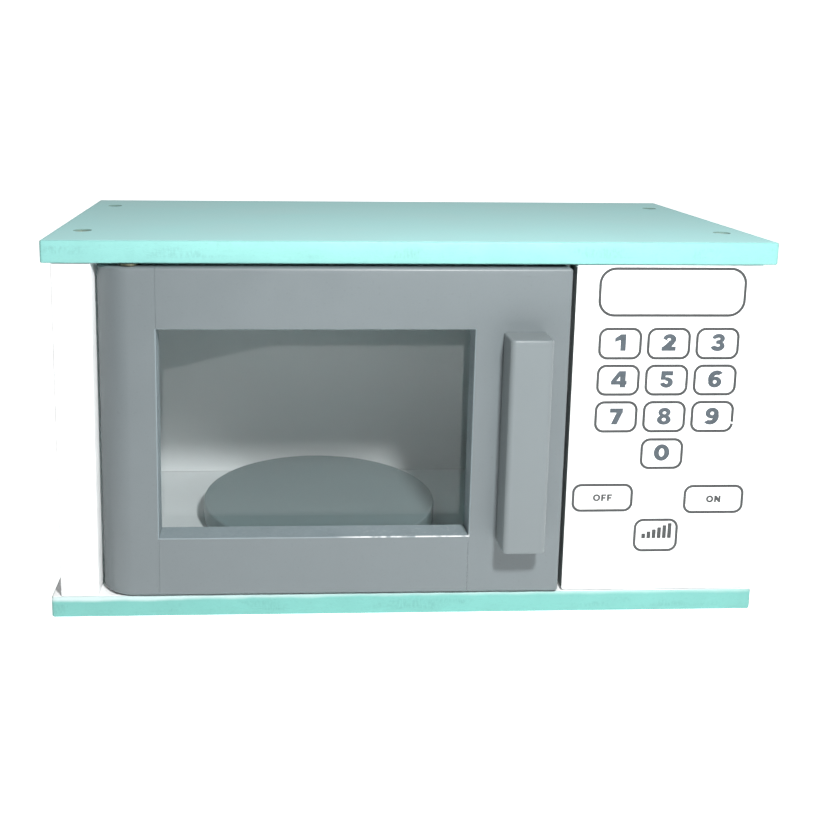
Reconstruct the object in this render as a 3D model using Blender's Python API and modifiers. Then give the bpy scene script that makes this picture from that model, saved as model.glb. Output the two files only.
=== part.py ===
"""Toy microwave oven made of painted board.

Two wide boards hold a left and a right side panel, a partition, a thin back panel and a
control panel between them. A glazed door of four butt-jointed pieces turns on two upright
pivot pins at its left edge, and a round disc turns on a pin in the oven floor.

Lengths are in metres. X runs to the right, Y to the back and Z up. The origin is the middle
of the bottom board's underside.
"""

import math

import bmesh
import bpy
from mathutils import Matrix, Vector

# Carcass
BOARD_WIDTH = 0.390
BOARD_DEPTH = 0.190
BOARD_THICKNESS = 0.012
BOARD_CORNER_RADIUS = 0.0015
BOARD_ARRIS_RADIUS = 0.0008
INNER_HEIGHT = 0.185
SIDE_OVERHANG = 0.0053
SIDE_THICKNESS = 0.0205
SIDE_ARRIS_RADIUS = 0.0010
PARTITION_THICKNESS = 0.018
BACK_THICKNESS = 0.003

# Control panel
CONTROL_PANEL_WIDTH = 0.103
CONTROL_PANEL_TOP_GAP = 0.0005
CONTROL_PANEL_BOTTOM_GAP = 0.0008
CONTROL_PANEL_CORNER_RADIUS = 0.0015
CONTROL_PANEL_ARRIS_RADIUS = 0.0005

# Door frame
DOOR_THICKNESS = 0.015
DOOR_PROUD = 0.002
DOOR_POST_GAP = 0.0015
DOOR_PANEL_GAP = 0.0026
DOOR_TOP_GAP = 0.0018
DOOR_BOTTOM_GAP = 0.0012
DOOR_LAP = 0.0075
HINGE_STILE_WIDTH = 0.032
LATCH_STILE_WIDTH = 0.051
TOP_RAIL_HEIGHT = 0.033
BOTTOM_RAIL_HEIGHT = 0.033
HINGE_ROUND_RADIUS = 0.019
HINGE_ROUND_FLAT = 0.0010
DOOR_CORNER_RADIUS = 0.0015
DOOR_ARRIS_RADIUS = 0.0014
WINDOW_CHAMFER = 0.0005

# Pane
PANE_THICKNESS = 0.002
PANE_LAP = 0.010
PANE_CORNER_RADIUS = 0.003
PANE_SCREW_INSET = 0.005
PANE_SCREW_DIAMETER = 0.0024
PANE_SCREW_HEAD_DIAMETER = 0.0052
PANE_SCREW_HEAD_HEIGHT = 0.0016
PANE_SCREW_DEPTH_SHARE = 0.55

# Handle
HANDLE_WIDTH = 0.0229
HANDLE_HEIGHT = 0.117
HANDLE_DEPTH = 0.018
HANDLE_RIGHT_INSET = 0.0129
HANDLE_DROP = 0.002
HANDLE_EDGE_RADIUS = 0.0030
HANDLE_SCREW_SPACING = 0.070
HANDLE_SCREW_DIAMETER = 0.004
HANDLE_SCREW_HEAD_DIAMETER = 0.0075
HANDLE_SCREW_HEAD_HEIGHT = 0.0022
HANDLE_SCREW_DEPTH_SHARE = 0.6

# Hinge
HINGE_INSET = 0.018
HINGE_PIN_DIAMETER = 0.005
HINGE_PIN_IN_DOOR = 0.018
HINGE_PIN_BOARD_SHARE = 0.65
UPPER_WASHER_DIAMETER = 0.0105
LOWER_WASHER_DIAMETER = 0.0080

# Catch
MAGNET_DIAMETER = 0.004
MAGNET_LENGTH = 0.005
MAGNET_PROUD = 0.0005
CATCH_SCREW_DIAMETER = 0.003
CATCH_SCREW_HEAD_DIAMETER = 0.006
CATCH_SCREW_HEAD_HEIGHT = 0.0012
CATCH_SCREW_DEPTH_SHARE = 0.7

# Turntable
TURNTABLE_CLEARANCE = 0.013
TURNTABLE_SET_BACK = 0.0047
TURNTABLE_SET_RIGHT = 0.0015
TURNTABLE_THICKNESS = 0.012
TURNTABLE_RIM_RADIUS = 0.0012
TURNTABLE_LIFT = 0.003
SPACER_DIAMETER = 0.026
TURNTABLE_PIN_DIAMETER = 0.006
TURNTABLE_PIN_SHARE = 0.6

# Screws through the boards
BOARD_SCREW_FRONT_INSET = 0.038
BOARD_SCREW_BACK_INSET = 0.034
BOARD_SCREW_LENGTH = 0.035
BOARD_SCREW_DIAMETER = 0.004
BOARD_SCREW_HEAD_DIAMETER = 0.0084
BOARD_SCREW_SINK = 0.0006
SCREW_HEAD_RIM = 0.0003
SCREW_TIP_SHARE = 0.12
PAN_HEAD_RIM_SHARE = 0.35
PIN_TIP_SHARE = 0.4

# Clearances shared by the pieces
SEAT_GAP = 0.0003
CUT_OVERRUN = 0.002
TOUCH = 0.000001
MERGE_DISTANCE = 0.00001

# Facets
DISC_STEPS = 72
RING_STEPS = 28
SCREW_STEPS = 14
HOLE_STEPS = 20
ROUND_STEPS = 8
CORNER_STEPS = 4
ARRIS_STEPS = 2
SHARP_ANGLE = math.radians(60)
SMOOTH_ANGLE = math.radians(50)
ROUND_PROFILE_SHARE = 0.5

# Places that follow from the sizes above
HALF_WIDTH = BOARD_WIDTH / 2
FRONT_Y = -BOARD_DEPTH / 2
BACK_Y = BOARD_DEPTH / 2
FLOOR_Z = BOARD_THICKNESS
CEILING_Z = BOARD_THICKNESS + INNER_HEIGHT
TOP_Z = CEILING_Z + BOARD_THICKNESS
SIDE_X = HALF_WIDTH - SIDE_OVERHANG
CAVITY_LEFT_X = -SIDE_X + SIDE_THICKNESS
BACK_PANEL_FRONT_Y = BACK_Y - BACK_THICKNESS
CARCASS_BACK_Y = BACK_PANEL_FRONT_Y - SEAT_GAP
PANEL_LEFT_X = SIDE_X - CONTROL_PANEL_WIDTH

DOOR_LEFT_X = CAVITY_LEFT_X + DOOR_POST_GAP
DOOR_RIGHT_X = PANEL_LEFT_X - DOOR_PANEL_GAP
DOOR_FRONT_Y = FRONT_Y - DOOR_PROUD
DOOR_BACK_Y = DOOR_FRONT_Y + DOOR_THICKNESS
DOOR_BOTTOM_Z = FLOOR_Z + DOOR_BOTTOM_GAP
DOOR_TOP_Z = CEILING_Z - DOOR_TOP_GAP
WINDOW_LEFT_X = DOOR_LEFT_X + HINGE_STILE_WIDTH
WINDOW_RIGHT_X = DOOR_RIGHT_X - LATCH_STILE_WIDTH
WINDOW_BOTTOM_Z = DOOR_BOTTOM_Z + BOTTOM_RAIL_HEIGHT
WINDOW_TOP_Z = DOOR_TOP_Z - TOP_RAIL_HEIGHT
PANE_FRONT_Y = DOOR_BACK_Y + SEAT_GAP
PANE_BACK_Y = PANE_FRONT_Y + PANE_THICKNESS

CATCH_SCREW_FACE_Y = DOOR_BACK_Y + SEAT_GAP + CATCH_SCREW_HEAD_HEIGHT
MAGNET_FACE_Y = CATCH_SCREW_FACE_Y + SEAT_GAP
PARTITION_FRONT_Y = MAGNET_FACE_Y + MAGNET_PROUD
PARTITION_LEFT_X = DOOR_RIGHT_X - DOOR_LAP
PANEL_BACK_Y = PARTITION_FRONT_Y - SEAT_GAP
CATCH_X = PARTITION_LEFT_X + DOOR_LAP / 2
CATCH_Z = (DOOR_BOTTOM_Z + DOOR_TOP_Z) / 2

HINGE_X = DOOR_LEFT_X + HINGE_INSET
HINGE_Y = (DOOR_FRONT_Y + DOOR_BACK_Y) / 2
HINGE_PIN_IN_BOARD = BOARD_THICKNESS * HINGE_PIN_BOARD_SHARE

CAVITY_DEPTH = BACK_PANEL_FRONT_Y - DOOR_BACK_Y
CAVITY_WIDTH = PARTITION_LEFT_X - CAVITY_LEFT_X
TURNTABLE_X = (PARTITION_LEFT_X + CAVITY_LEFT_X) / 2 + TURNTABLE_SET_RIGHT
TURNTABLE_Y = (BACK_PANEL_FRONT_Y + DOOR_BACK_Y) / 2 + TURNTABLE_SET_BACK
TURNTABLE_RADIUS = min(CAVITY_DEPTH, CAVITY_WIDTH) / 2 - TURNTABLE_CLEARANCE
TURNTABLE_BOTTOM_Z = FLOOR_Z + TURNTABLE_LIFT
TURNTABLE_TOP_Z = TURNTABLE_BOTTOM_Z + TURNTABLE_THICKNESS

HANDLE_X = DOOR_RIGHT_X - HANDLE_RIGHT_INSET - HANDLE_WIDTH / 2
HANDLE_Z = (DOOR_BOTTOM_Z + DOOR_TOP_Z) / 2 - HANDLE_DROP
HANDLE_BACK_Y = DOOR_FRONT_Y - SEAT_GAP

UP = Vector((0, 0, 1))
DOWN = -UP
FORWARD = Vector((0, -1, 0))
BACKWARD = -FORWARD


# Scene, collections and materials


def clear_scene():
    for thing in list(bpy.data.objects):
        bpy.data.objects.remove(thing, do_unlink=True)


def new_collection(name):
    collection = bpy.data.collections.new(name)
    bpy.context.scene.collection.children.link(collection)
    return collection


def paint(name, colour, roughness, metallic=0.0, alpha=1.0):
    """A Principled material of one colour."""
    material = bpy.data.materials.new(name)
    material.use_nodes = True
    shader = material.node_tree.nodes["Principled BSDF"]
    shader.inputs["Base Color"].default_value = (*colour, 1.0)
    shader.inputs["Roughness"].default_value = roughness
    shader.inputs["Metallic"].default_value = metallic
    shader.inputs["Alpha"].default_value = alpha
    material.diffuse_color = (*colour, alpha)
    return material


clear_scene()
PARTS = new_collection("toy_microwave")
CUTTERS = new_collection("toy_microwave_cutters")

MINT = paint("mint_paint", (0.25, 0.73, 0.62), 0.45)
WHITE = paint("white_paint", (0.86, 0.87, 0.87), 0.45)
GREY = paint("grey_paint", (0.29, 0.32, 0.34), 0.42)
HANDLE_GREY = paint("handle_grey_paint", (0.34, 0.36, 0.38), 0.42)
DISC_GREY = paint("disc_grey_paint", (0.17, 0.21, 0.21), 0.50)
ACRYLIC = paint("clear_acrylic", (0.90, 0.95, 0.95), 0.03, alpha=0.25)
BRASS = paint("brass", (0.62, 0.45, 0.20), 0.35, metallic=1.0)
STEEL = paint("zinc_plated_steel", (0.60, 0.60, 0.58), 0.35, metallic=1.0)
MAGNET = paint("nickel_plated_magnet", (0.66, 0.65, 0.62), 0.25, metallic=1.0)


# Making solids


def add_object(name, mesh, collection, material=None):
    thing = bpy.data.objects.new(name, mesh)
    collection.objects.link(thing)
    if material:
        mesh.materials.append(material)
    return thing


def as_cutter(thing):
    """A helper solid that only shapes other pieces."""
    thing.display_type = "WIRE"
    thing.hide_render = True
    return thing


def along(edge, direction):
    run = (edge.verts[1].co - edge.verts[0].co).normalized()
    return abs(run.dot(direction)) > 1 - TOUCH


def lies_at(edge, axis, value):
    return all(abs(vert.co[axis] - value) < TOUCH for vert in edge.verts)


def is_sharp(edge):
    return len(edge.link_faces) == 2 and edge.calc_face_angle() > SHARP_ANGLE


def rounded_mesh(name, bm, roundings):
    """The mesh of a form whose picked edges are rounded one set after another.

    Each rounding is a test that picks edges, a radius and a number of steps.
    """
    for picks, radius, steps in roundings:
        edges = [edge for edge in bm.edges if is_sharp(edge) and picks(edge)]
        rounded = bmesh.ops.bevel(
            bm,
            geom=edges,
            offset=radius,
            segments=steps,
            profile=ROUND_PROFILE_SHARE,
            affect="EDGES",
        )
        for face in rounded["faces"]:
            face.smooth = True
    mesh = bpy.data.meshes.new(name)
    bm.to_mesh(mesh)
    bm.free()
    return mesh


def block_mesh(name, low, high, roundings=()):
    """A box from corner to corner."""
    low = Vector(low)
    high = Vector(high)
    bm = bmesh.new()
    bmesh.ops.create_cube(bm, size=1.0)
    bmesh.ops.scale(bm, vec=high - low, verts=bm.verts)
    bmesh.ops.translate(bm, vec=(low + high) / 2, verts=bm.verts)
    return rounded_mesh(name, bm, roundings)


def prism_mesh(name, plan, bottom_z, top_z, roundings=()):
    """An upright solid whose outline, seen from above, is a row of points."""
    bm = bmesh.new()
    lower = [bm.verts.new((x, y, bottom_z)) for x, y in plan]
    upper = [bm.verts.new((x, y, top_z)) for x, y in plan]
    bm.faces.new(lower)
    bm.faces.new(upper)
    for i in range(len(plan)):
        bm.faces.new((lower[i - 1], lower[i], upper[i], upper[i - 1]))
    bmesh.ops.recalc_face_normals(bm, faces=bm.faces)
    return rounded_mesh(name, bm, roundings)


def seat_origin(thing, place, parent=None):
    """Puts the object's origin at a place, with its shape where it was, and parents it."""
    place = Vector(place)
    thing.data.transform(Matrix.Translation(-place))
    thing.location = place
    if parent:
        thing.parent = parent
        thing.location = place - parent.location
    return thing


def block(name, low, high, material, roundings=(), parent=None):
    thing = add_object(name, block_mesh(name, low, high, roundings), PARTS, material)
    return seat_origin(thing, (Vector(low) + Vector(high)) / 2, parent)


def cutter_block(name, low, high, roundings=()):
    return as_cutter(add_object(name, block_mesh(name, low, high, roundings), CUTTERS))


def spun_mesh(name, profile, steps, closed):
    """The mesh that a profile of radii and heights sweeps about the Z axis."""
    count = len(profile)
    edges = [(i, i + 1) for i in range(count - 1)]
    if closed:
        edges.append((count - 1, 0))
    outline = bpy.data.meshes.new(f"{name}_profile")
    outline.from_pydata([(radius, 0, height) for radius, height in profile], edges, [])
    spindle = add_object(f"{name}_profile", outline, CUTTERS)
    screw = spindle.modifiers.new("turn", "SCREW")
    screw.steps = steps
    screw.render_steps = steps
    screw.use_merge_vertices = True
    screw.merge_threshold = MERGE_DISTANCE
    view = bpy.context.evaluated_depsgraph_get()
    mesh = bpy.data.meshes.new_from_object(spindle.evaluated_get(view))
    mesh.name = name
    mesh.shade_smooth()
    mesh.set_sharp_from_angle(angle=SMOOTH_ANGLE)
    bpy.data.objects.remove(spindle)
    bpy.data.meshes.remove(outline)
    return mesh


def turned(name, profile, place, direction, steps, material=None, parent=None, closed=False):
    """A solid of revolution, or a cutter where it has no material.

    The profile is a list of radii and heights, down the outer side. Its axis stands at a
    place and points in a direction. A closed profile makes a ring.
    """
    mesh = spun_mesh(name, profile, steps, closed)
    thing = add_object(name, mesh, PARTS if material else CUTTERS, material)
    if not material:
        as_cutter(thing)
    thing.rotation_mode = "QUATERNION"
    thing.rotation_quaternion = UP.rotation_difference(direction)
    thing.location = Vector(place)
    if parent:
        thing.parent = parent
        thing.location = Vector(place) - parent.location
    return thing


def carve(thing, cutter, operation="DIFFERENCE"):
    boolean = thing.modifiers.new(cutter.name, "BOOLEAN")
    boolean.operation = operation
    boolean.object = cutter
    boolean.solver = "EXACT"


def hole(name, place, direction, radius, depth, *things):
    """A round hole that goes in from a face at a place, against a direction."""
    profile = [(0, CUT_OVERRUN), (radius, CUT_OVERRUN), (radius, -depth), (0, -depth)]
    cutter = turned(name, profile, place, direction, HOLE_STEPS)
    for thing in things:
        carve(thing, cutter)


def quarter_oval(width, height, steps):
    """Points of a quarter ellipse about the origin, from straight up round to straight out."""
    turns = [math.pi / 2 * i / steps for i in range(steps + 1)]
    return [(width * math.sin(turn), height * math.cos(turn)) for turn in turns]


def countersunk_profile(head_radius, shank_radius, length):
    """A countersunk screw with its head's face at zero height."""
    cone = head_radius - shank_radius
    tip = length * SCREW_TIP_SHARE
    return [
        (0, 0),
        (head_radius, 0),
        (head_radius, -SCREW_HEAD_RIM),
        (shank_radius, -SCREW_HEAD_RIM - cone),
        (shank_radius, tip - length),
        (0, -length),
    ]


def pan_head_profile(head_radius, head_height, shank_radius, length):
    """A screw with a domed head that seats at zero height."""
    rim = head_height * PAN_HEAD_RIM_SHARE
    dome = quarter_oval(head_radius, head_height - rim, CORNER_STEPS)
    tip = length * SCREW_TIP_SHARE
    return [(radius, rim + height) for radius, height in dome] + [
        (head_radius, 0),
        (shank_radius, 0),
        (shank_radius, tip - length),
        (0, -length),
    ]


def pin_profile(radius, length):
    """A round pin with tapered ends and its top at zero height."""
    tip = radius * PIN_TIP_SHARE
    return [
        (0, 0),
        (radius - tip, 0),
        (radius, -tip),
        (radius, tip - length),
        (radius - tip, -length),
        (0, -length),
    ]


def ring_profile(outer_radius, inner_radius, thickness):
    return [
        (inner_radius, thickness),
        (outer_radius, thickness),
        (outer_radius, 0),
        (inner_radius, 0),
    ]


# Joint axes

door_axis = bpy.data.objects.new("door_axis", None)
door_axis.location = (HINGE_X, HINGE_Y, DOOR_BOTTOM_Z)
PARTS.objects.link(door_axis)

turntable_axis = bpy.data.objects.new("turntable_axis", None)
turntable_axis.location = (TURNTABLE_X, TURNTABLE_Y, TURNTABLE_BOTTOM_Z)
PARTS.objects.link(turntable_axis)


# Carcass


def upright(edge):
    return along(edge, UP)


def level(edge):
    return not along(edge, UP)


def board(name, bottom_z):
    """One of the two wide boards, with round corners and eased edges."""
    return block(
        name,
        (-HALF_WIDTH, FRONT_Y, bottom_z),
        (HALF_WIDTH, BACK_Y, bottom_z + BOARD_THICKNESS),
        MINT,
        [
            (upright, BOARD_CORNER_RADIUS, CORNER_STEPS),
            (level, BOARD_ARRIS_RADIUS, ARRIS_STEPS),
        ],
    )


def standing(name, left_x, right_x, front_y, back_y, material, arris_radius):
    """An upright board between the two wide ones, with its front edges eased."""
    return block(
        name,
        (left_x, front_y, FLOOR_Z + SEAT_GAP),
        (right_x, back_y, CEILING_Z - SEAT_GAP),
        material,
        [(lambda edge: upright(edge) and lies_at(edge, 1, front_y), arris_radius, ARRIS_STEPS)],
    )


top_board = board("top_board", CEILING_Z)
bottom_board = board("bottom_board", 0)

left_side_panel = standing(
    "left_side_panel",
    -SIDE_X,
    CAVITY_LEFT_X,
    FRONT_Y,
    CARCASS_BACK_Y,
    WHITE,
    SIDE_ARRIS_RADIUS,
)
right_side_panel = standing(
    "right_side_panel",
    SIDE_X - SIDE_THICKNESS,
    SIDE_X,
    PARTITION_FRONT_Y,
    CARCASS_BACK_Y,
    WHITE,
    BOARD_ARRIS_RADIUS,
)
partition_panel = standing(
    "partition_panel",
    PARTITION_LEFT_X,
    PARTITION_LEFT_X + PARTITION_THICKNESS,
    PARTITION_FRONT_Y,
    CARCASS_BACK_Y,
    WHITE,
    BOARD_ARRIS_RADIUS,
)
back_panel = block(
    "back_panel",
    (-SIDE_X, BACK_PANEL_FRONT_Y, FLOOR_Z + SEAT_GAP),
    (SIDE_X, BACK_Y, CEILING_Z - SEAT_GAP),
    WHITE,
)
control_panel = block(
    "control_panel",
    (PANEL_LEFT_X, FRONT_Y, FLOOR_Z + CONTROL_PANEL_BOTTOM_GAP),
    (SIDE_X, PANEL_BACK_Y, CEILING_Z - CONTROL_PANEL_TOP_GAP),
    WHITE,
    [
        (lambda edge: along(edge, FORWARD), CONTROL_PANEL_CORNER_RADIUS, CORNER_STEPS),
        (lambda edge: lies_at(edge, 1, FRONT_Y), CONTROL_PANEL_ARRIS_RADIUS, ARRIS_STEPS),
    ],
)


# Screws through the two boards into the side panels


def board_screw(name, x, y, face_z, direction, wide_board, side_panel):
    """A countersunk screw, its hole in the board and its pilot hole in the side panel."""
    shank = BOARD_SCREW_DIAMETER / 2
    head = BOARD_SCREW_HEAD_DIAMETER / 2
    mouth = head + BOARD_SCREW_SINK + SCREW_HEAD_RIM + 2 * SEAT_GAP
    flare = mouth + CUT_OVERRUN
    throat = shank + SEAT_GAP
    cutter = turned(
        f"{name}_hole",
        [
            (0, CUT_OVERRUN),
            (flare, CUT_OVERRUN),
            (throat, throat - mouth),
            (throat, -BOARD_SCREW_LENGTH - CUT_OVERRUN),
            (0, -BOARD_SCREW_LENGTH - CUT_OVERRUN),
        ],
        (x, y, face_z),
        direction,
        HOLE_STEPS,
    )
    carve(wide_board, cutter)
    carve(side_panel, cutter)
    turned(
        name,
        countersunk_profile(head, shank, BOARD_SCREW_LENGTH),
        Vector((x, y, face_z)) - direction * BOARD_SCREW_SINK,
        direction,
        SCREW_STEPS,
        STEEL,
    )


SIDE_MIDDLE_X = SIDE_X - SIDE_THICKNESS / 2
SCREW_ROWS = {
    "front": FRONT_Y + BOARD_SCREW_FRONT_INSET,
    "back": BACK_Y - BOARD_SCREW_BACK_INSET,
}
for row_name, row_y in SCREW_ROWS.items():
    for side_name, side_x, side_panel in (
        ("left", -SIDE_MIDDLE_X, left_side_panel),
        ("right", SIDE_MIDDLE_X, right_side_panel),
    ):
        place_name = f"{row_name}_{side_name}"
        board_screw(f"top_screw_{place_name}", side_x, row_y, TOP_Z, UP, top_board, side_panel)
        board_screw(f"bottom_screw_{place_name}", side_x, row_y, 0, DOWN, bottom_board, side_panel)


# Door frame: four pieces cut from one rounded outline


def hinge_round_reach(depth):
    """How far the hinge stile's round goes in from its left edge, at a depth from the front."""
    return math.sqrt(HINGE_ROUND_RADIUS**2 - (HINGE_ROUND_RADIUS - depth) ** 2)


def door_plan():
    """The door's outline seen from above: a square block whose front left is one wide round."""
    round_depth = DOOR_THICKNESS - HINGE_ROUND_FLAT
    middle_x = DOOR_LEFT_X + hinge_round_reach(round_depth)
    middle_y = DOOR_FRONT_Y + HINGE_ROUND_RADIUS
    sweep = math.acos((HINGE_ROUND_RADIUS - round_depth) / HINGE_ROUND_RADIUS)
    turns = [sweep * i / ROUND_STEPS for i in range(ROUND_STEPS + 1)]
    curve = [
        (
            middle_x - HINGE_ROUND_RADIUS * math.sin(turn),
            middle_y - HINGE_ROUND_RADIUS * math.cos(turn),
        )
        for turn in turns
    ]
    return curve + [
        (DOOR_LEFT_X, DOOR_BACK_Y),
        (DOOR_RIGHT_X, DOOR_BACK_Y),
        (DOOR_RIGHT_X, DOOR_FRONT_Y),
    ]


def is_latch_corner(edge):
    return along(edge, FORWARD) and lies_at(edge, 0, DOOR_RIGHT_X)


def is_door_rim(edge):
    return not lies_at(edge, 1, DOOR_BACK_Y)


door_outline = as_cutter(
    add_object(
        "door_outline",
        prism_mesh(
            "door_outline",
            door_plan(),
            DOOR_BOTTOM_Z,
            DOOR_TOP_Z,
            [
                (is_latch_corner, DOOR_CORNER_RADIUS, CORNER_STEPS),
                (is_door_rim, DOOR_ARRIS_RADIUS, ARRIS_STEPS),
            ],
        ),
        CUTTERS,
    )
)

CHAMFER_REACH = WINDOW_CHAMFER + CUT_OVERRUN
window_chamfer = cutter_block(
    "window_chamfer",
    (
        WINDOW_LEFT_X - CHAMFER_REACH,
        DOOR_FRONT_Y - 2 * CUT_OVERRUN,
        WINDOW_BOTTOM_Z - CHAMFER_REACH,
    ),
    (
        WINDOW_RIGHT_X + CHAMFER_REACH,
        DOOR_FRONT_Y + CHAMFER_REACH,
        WINDOW_TOP_Z + CHAMFER_REACH,
    ),
    [
        (
            lambda edge: lies_at(edge, 1, DOOR_FRONT_Y + CHAMFER_REACH),
            WINDOW_CHAMFER + 2 * CUT_OVERRUN,
            1,
        )
    ],
)


def door_piece(name, left_x, right_x, bottom_z, top_z):
    """One piece of the door frame, cut to the door's rounded outline."""
    piece = block(
        name,
        (left_x, DOOR_FRONT_Y - CUT_OVERRUN, bottom_z),
        (right_x, DOOR_BACK_Y + CUT_OVERRUN, top_z),
        GREY,
        parent=door_axis,
    )
    carve(piece, door_outline, "INTERSECT")
    carve(piece, window_chamfer)
    return piece


door_hinge_stile = door_piece(
    "door_hinge_stile",
    DOOR_LEFT_X - CUT_OVERRUN,
    WINDOW_LEFT_X,
    DOOR_BOTTOM_Z - CUT_OVERRUN,
    DOOR_TOP_Z + CUT_OVERRUN,
)
door_latch_stile = door_piece(
    "door_latch_stile",
    WINDOW_RIGHT_X,
    DOOR_RIGHT_X + CUT_OVERRUN,
    DOOR_BOTTOM_Z - CUT_OVERRUN,
    DOOR_TOP_Z + CUT_OVERRUN,
)
door_top_rail = door_piece(
    "door_top_rail",
    WINDOW_LEFT_X + SEAT_GAP,
    WINDOW_RIGHT_X - SEAT_GAP,
    WINDOW_TOP_Z,
    DOOR_TOP_Z + CUT_OVERRUN,
)
door_bottom_rail = door_piece(
    "door_bottom_rail",
    WINDOW_LEFT_X + SEAT_GAP,
    WINDOW_RIGHT_X - SEAT_GAP,
    DOOR_BOTTOM_Z - CUT_OVERRUN,
    WINDOW_BOTTOM_Z,
)


# Pane behind the window, and its screws

door_pane = block(
    "door_pane",
    (WINDOW_LEFT_X - PANE_LAP, PANE_FRONT_Y, WINDOW_BOTTOM_Z - PANE_LAP),
    (WINDOW_RIGHT_X + PANE_LAP, PANE_BACK_Y, WINDOW_TOP_Z + PANE_LAP),
    ACRYLIC,
    [(lambda edge: along(edge, FORWARD), PANE_CORNER_RADIUS, CORNER_STEPS)],
    parent=door_axis,
)


def pan_screw(name, seat, head_diameter, head_height, diameter, length, *pierced):
    """A pan-head screw that goes into the door from behind, and its hole in what it pierces."""
    radius = diameter / 2
    depth = length + SEAT_GAP
    hole(f"{name}_hole", seat, BACKWARD, radius + SEAT_GAP, depth, *pierced)
    turned(
        name,
        pan_head_profile(head_diameter / 2, head_height, radius, length),
        seat,
        BACKWARD,
        SCREW_STEPS,
        STEEL,
        door_axis,
    )


PANE_SCREW_SEAT_Y = PANE_BACK_Y + SEAT_GAP
PANE_SCREW_LENGTH = PANE_SCREW_SEAT_Y - DOOR_BACK_Y + DOOR_THICKNESS * PANE_SCREW_DEPTH_SHARE
for height_name, screw_z in (
    ("upper", WINDOW_TOP_Z + PANE_LAP - PANE_SCREW_INSET),
    ("lower", WINDOW_BOTTOM_Z - PANE_LAP + PANE_SCREW_INSET),
):
    for side_name, screw_x, stile in (
        ("left", WINDOW_LEFT_X - PANE_LAP + PANE_SCREW_INSET, door_hinge_stile),
        ("right", WINDOW_RIGHT_X + PANE_LAP - PANE_SCREW_INSET, door_latch_stile),
    ):
        pan_screw(
            f"pane_screw_{height_name}_{side_name}",
            (screw_x, PANE_SCREW_SEAT_Y, screw_z),
            PANE_SCREW_HEAD_DIAMETER,
            PANE_SCREW_HEAD_HEIGHT,
            PANE_SCREW_DIAMETER,
            PANE_SCREW_LENGTH,
            door_pane,
            stile,
        )


# Handle, held by two screws from behind

door_handle = block(
    "door_handle",
    (
        HANDLE_X - HANDLE_WIDTH / 2,
        HANDLE_BACK_Y - HANDLE_DEPTH,
        HANDLE_Z - HANDLE_HEIGHT / 2,
    ),
    (
        HANDLE_X + HANDLE_WIDTH / 2,
        HANDLE_BACK_Y,
        HANDLE_Z + HANDLE_HEIGHT / 2,
    ),
    HANDLE_GREY,
    [(lambda edge: not lies_at(edge, 1, HANDLE_BACK_Y), HANDLE_EDGE_RADIUS, CORNER_STEPS)],
    parent=door_axis,
)


HANDLE_SCREW_SEAT_Y = DOOR_BACK_Y + SEAT_GAP
HANDLE_SCREW_REACH = HANDLE_DEPTH * HANDLE_SCREW_DEPTH_SHARE
for end_name, screw_z in (
    ("upper", HANDLE_Z + HANDLE_SCREW_SPACING / 2),
    ("lower", HANDLE_Z - HANDLE_SCREW_SPACING / 2),
):
    pan_screw(
        f"handle_screw_{end_name}",
        (HANDLE_X, HANDLE_SCREW_SEAT_Y, screw_z),
        HANDLE_SCREW_HEAD_DIAMETER,
        HANDLE_SCREW_HEAD_HEIGHT,
        HANDLE_SCREW_DIAMETER,
        HANDLE_SCREW_SEAT_Y - HANDLE_BACK_Y + HANDLE_SCREW_REACH,
        door_latch_stile,
        door_handle,
    )


# Hinge pins and washers


def hinge(end_name, board_face_z, door_face_z, direction, wide_board, washer_diameter):
    """A pin from a board into the hinge stile, and the washer between them.

    The direction points from the door to the board.
    """
    radius = HINGE_PIN_DIAMETER / 2
    length = HINGE_PIN_IN_DOOR + abs(board_face_z - door_face_z) + HINGE_PIN_IN_BOARD
    top = Vector((HINGE_X, HINGE_Y, board_face_z)) + direction * HINGE_PIN_IN_BOARD
    hole(
        f"hinge_hole_{end_name}",
        top + direction * SEAT_GAP,
        direction,
        radius + SEAT_GAP,
        length + 2 * SEAT_GAP,
        door_hinge_stile,
    )
    depth = HINGE_PIN_IN_BOARD + SEAT_GAP
    hole(
        f"hinge_socket_{end_name}",
        (HINGE_X, HINGE_Y, board_face_z),
        -direction,
        radius + SEAT_GAP,
        depth,
        wide_board,
    )
    turned(
        f"hinge_pin_{end_name}",
        pin_profile(radius, length),
        top,
        direction,
        RING_STEPS,
        STEEL,
    )
    thickness = abs(board_face_z - door_face_z) - 2 * SEAT_GAP
    turned(
        f"hinge_washer_{end_name}",
        ring_profile(washer_diameter / 2, radius + SEAT_GAP, thickness),
        Vector((HINGE_X, HINGE_Y, door_face_z)) + direction * SEAT_GAP,
        direction,
        RING_STEPS,
        BRASS,
        closed=True,
    )


hinge("upper", CEILING_Z, DOOR_TOP_Z, UP, top_board, UPPER_WASHER_DIAMETER)
hinge("lower", FLOOR_Z, DOOR_BOTTOM_Z, DOWN, bottom_board, LOWER_WASHER_DIAMETER)


# Catch: a magnet in the partition's front edge, and the screw head that it holds

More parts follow.
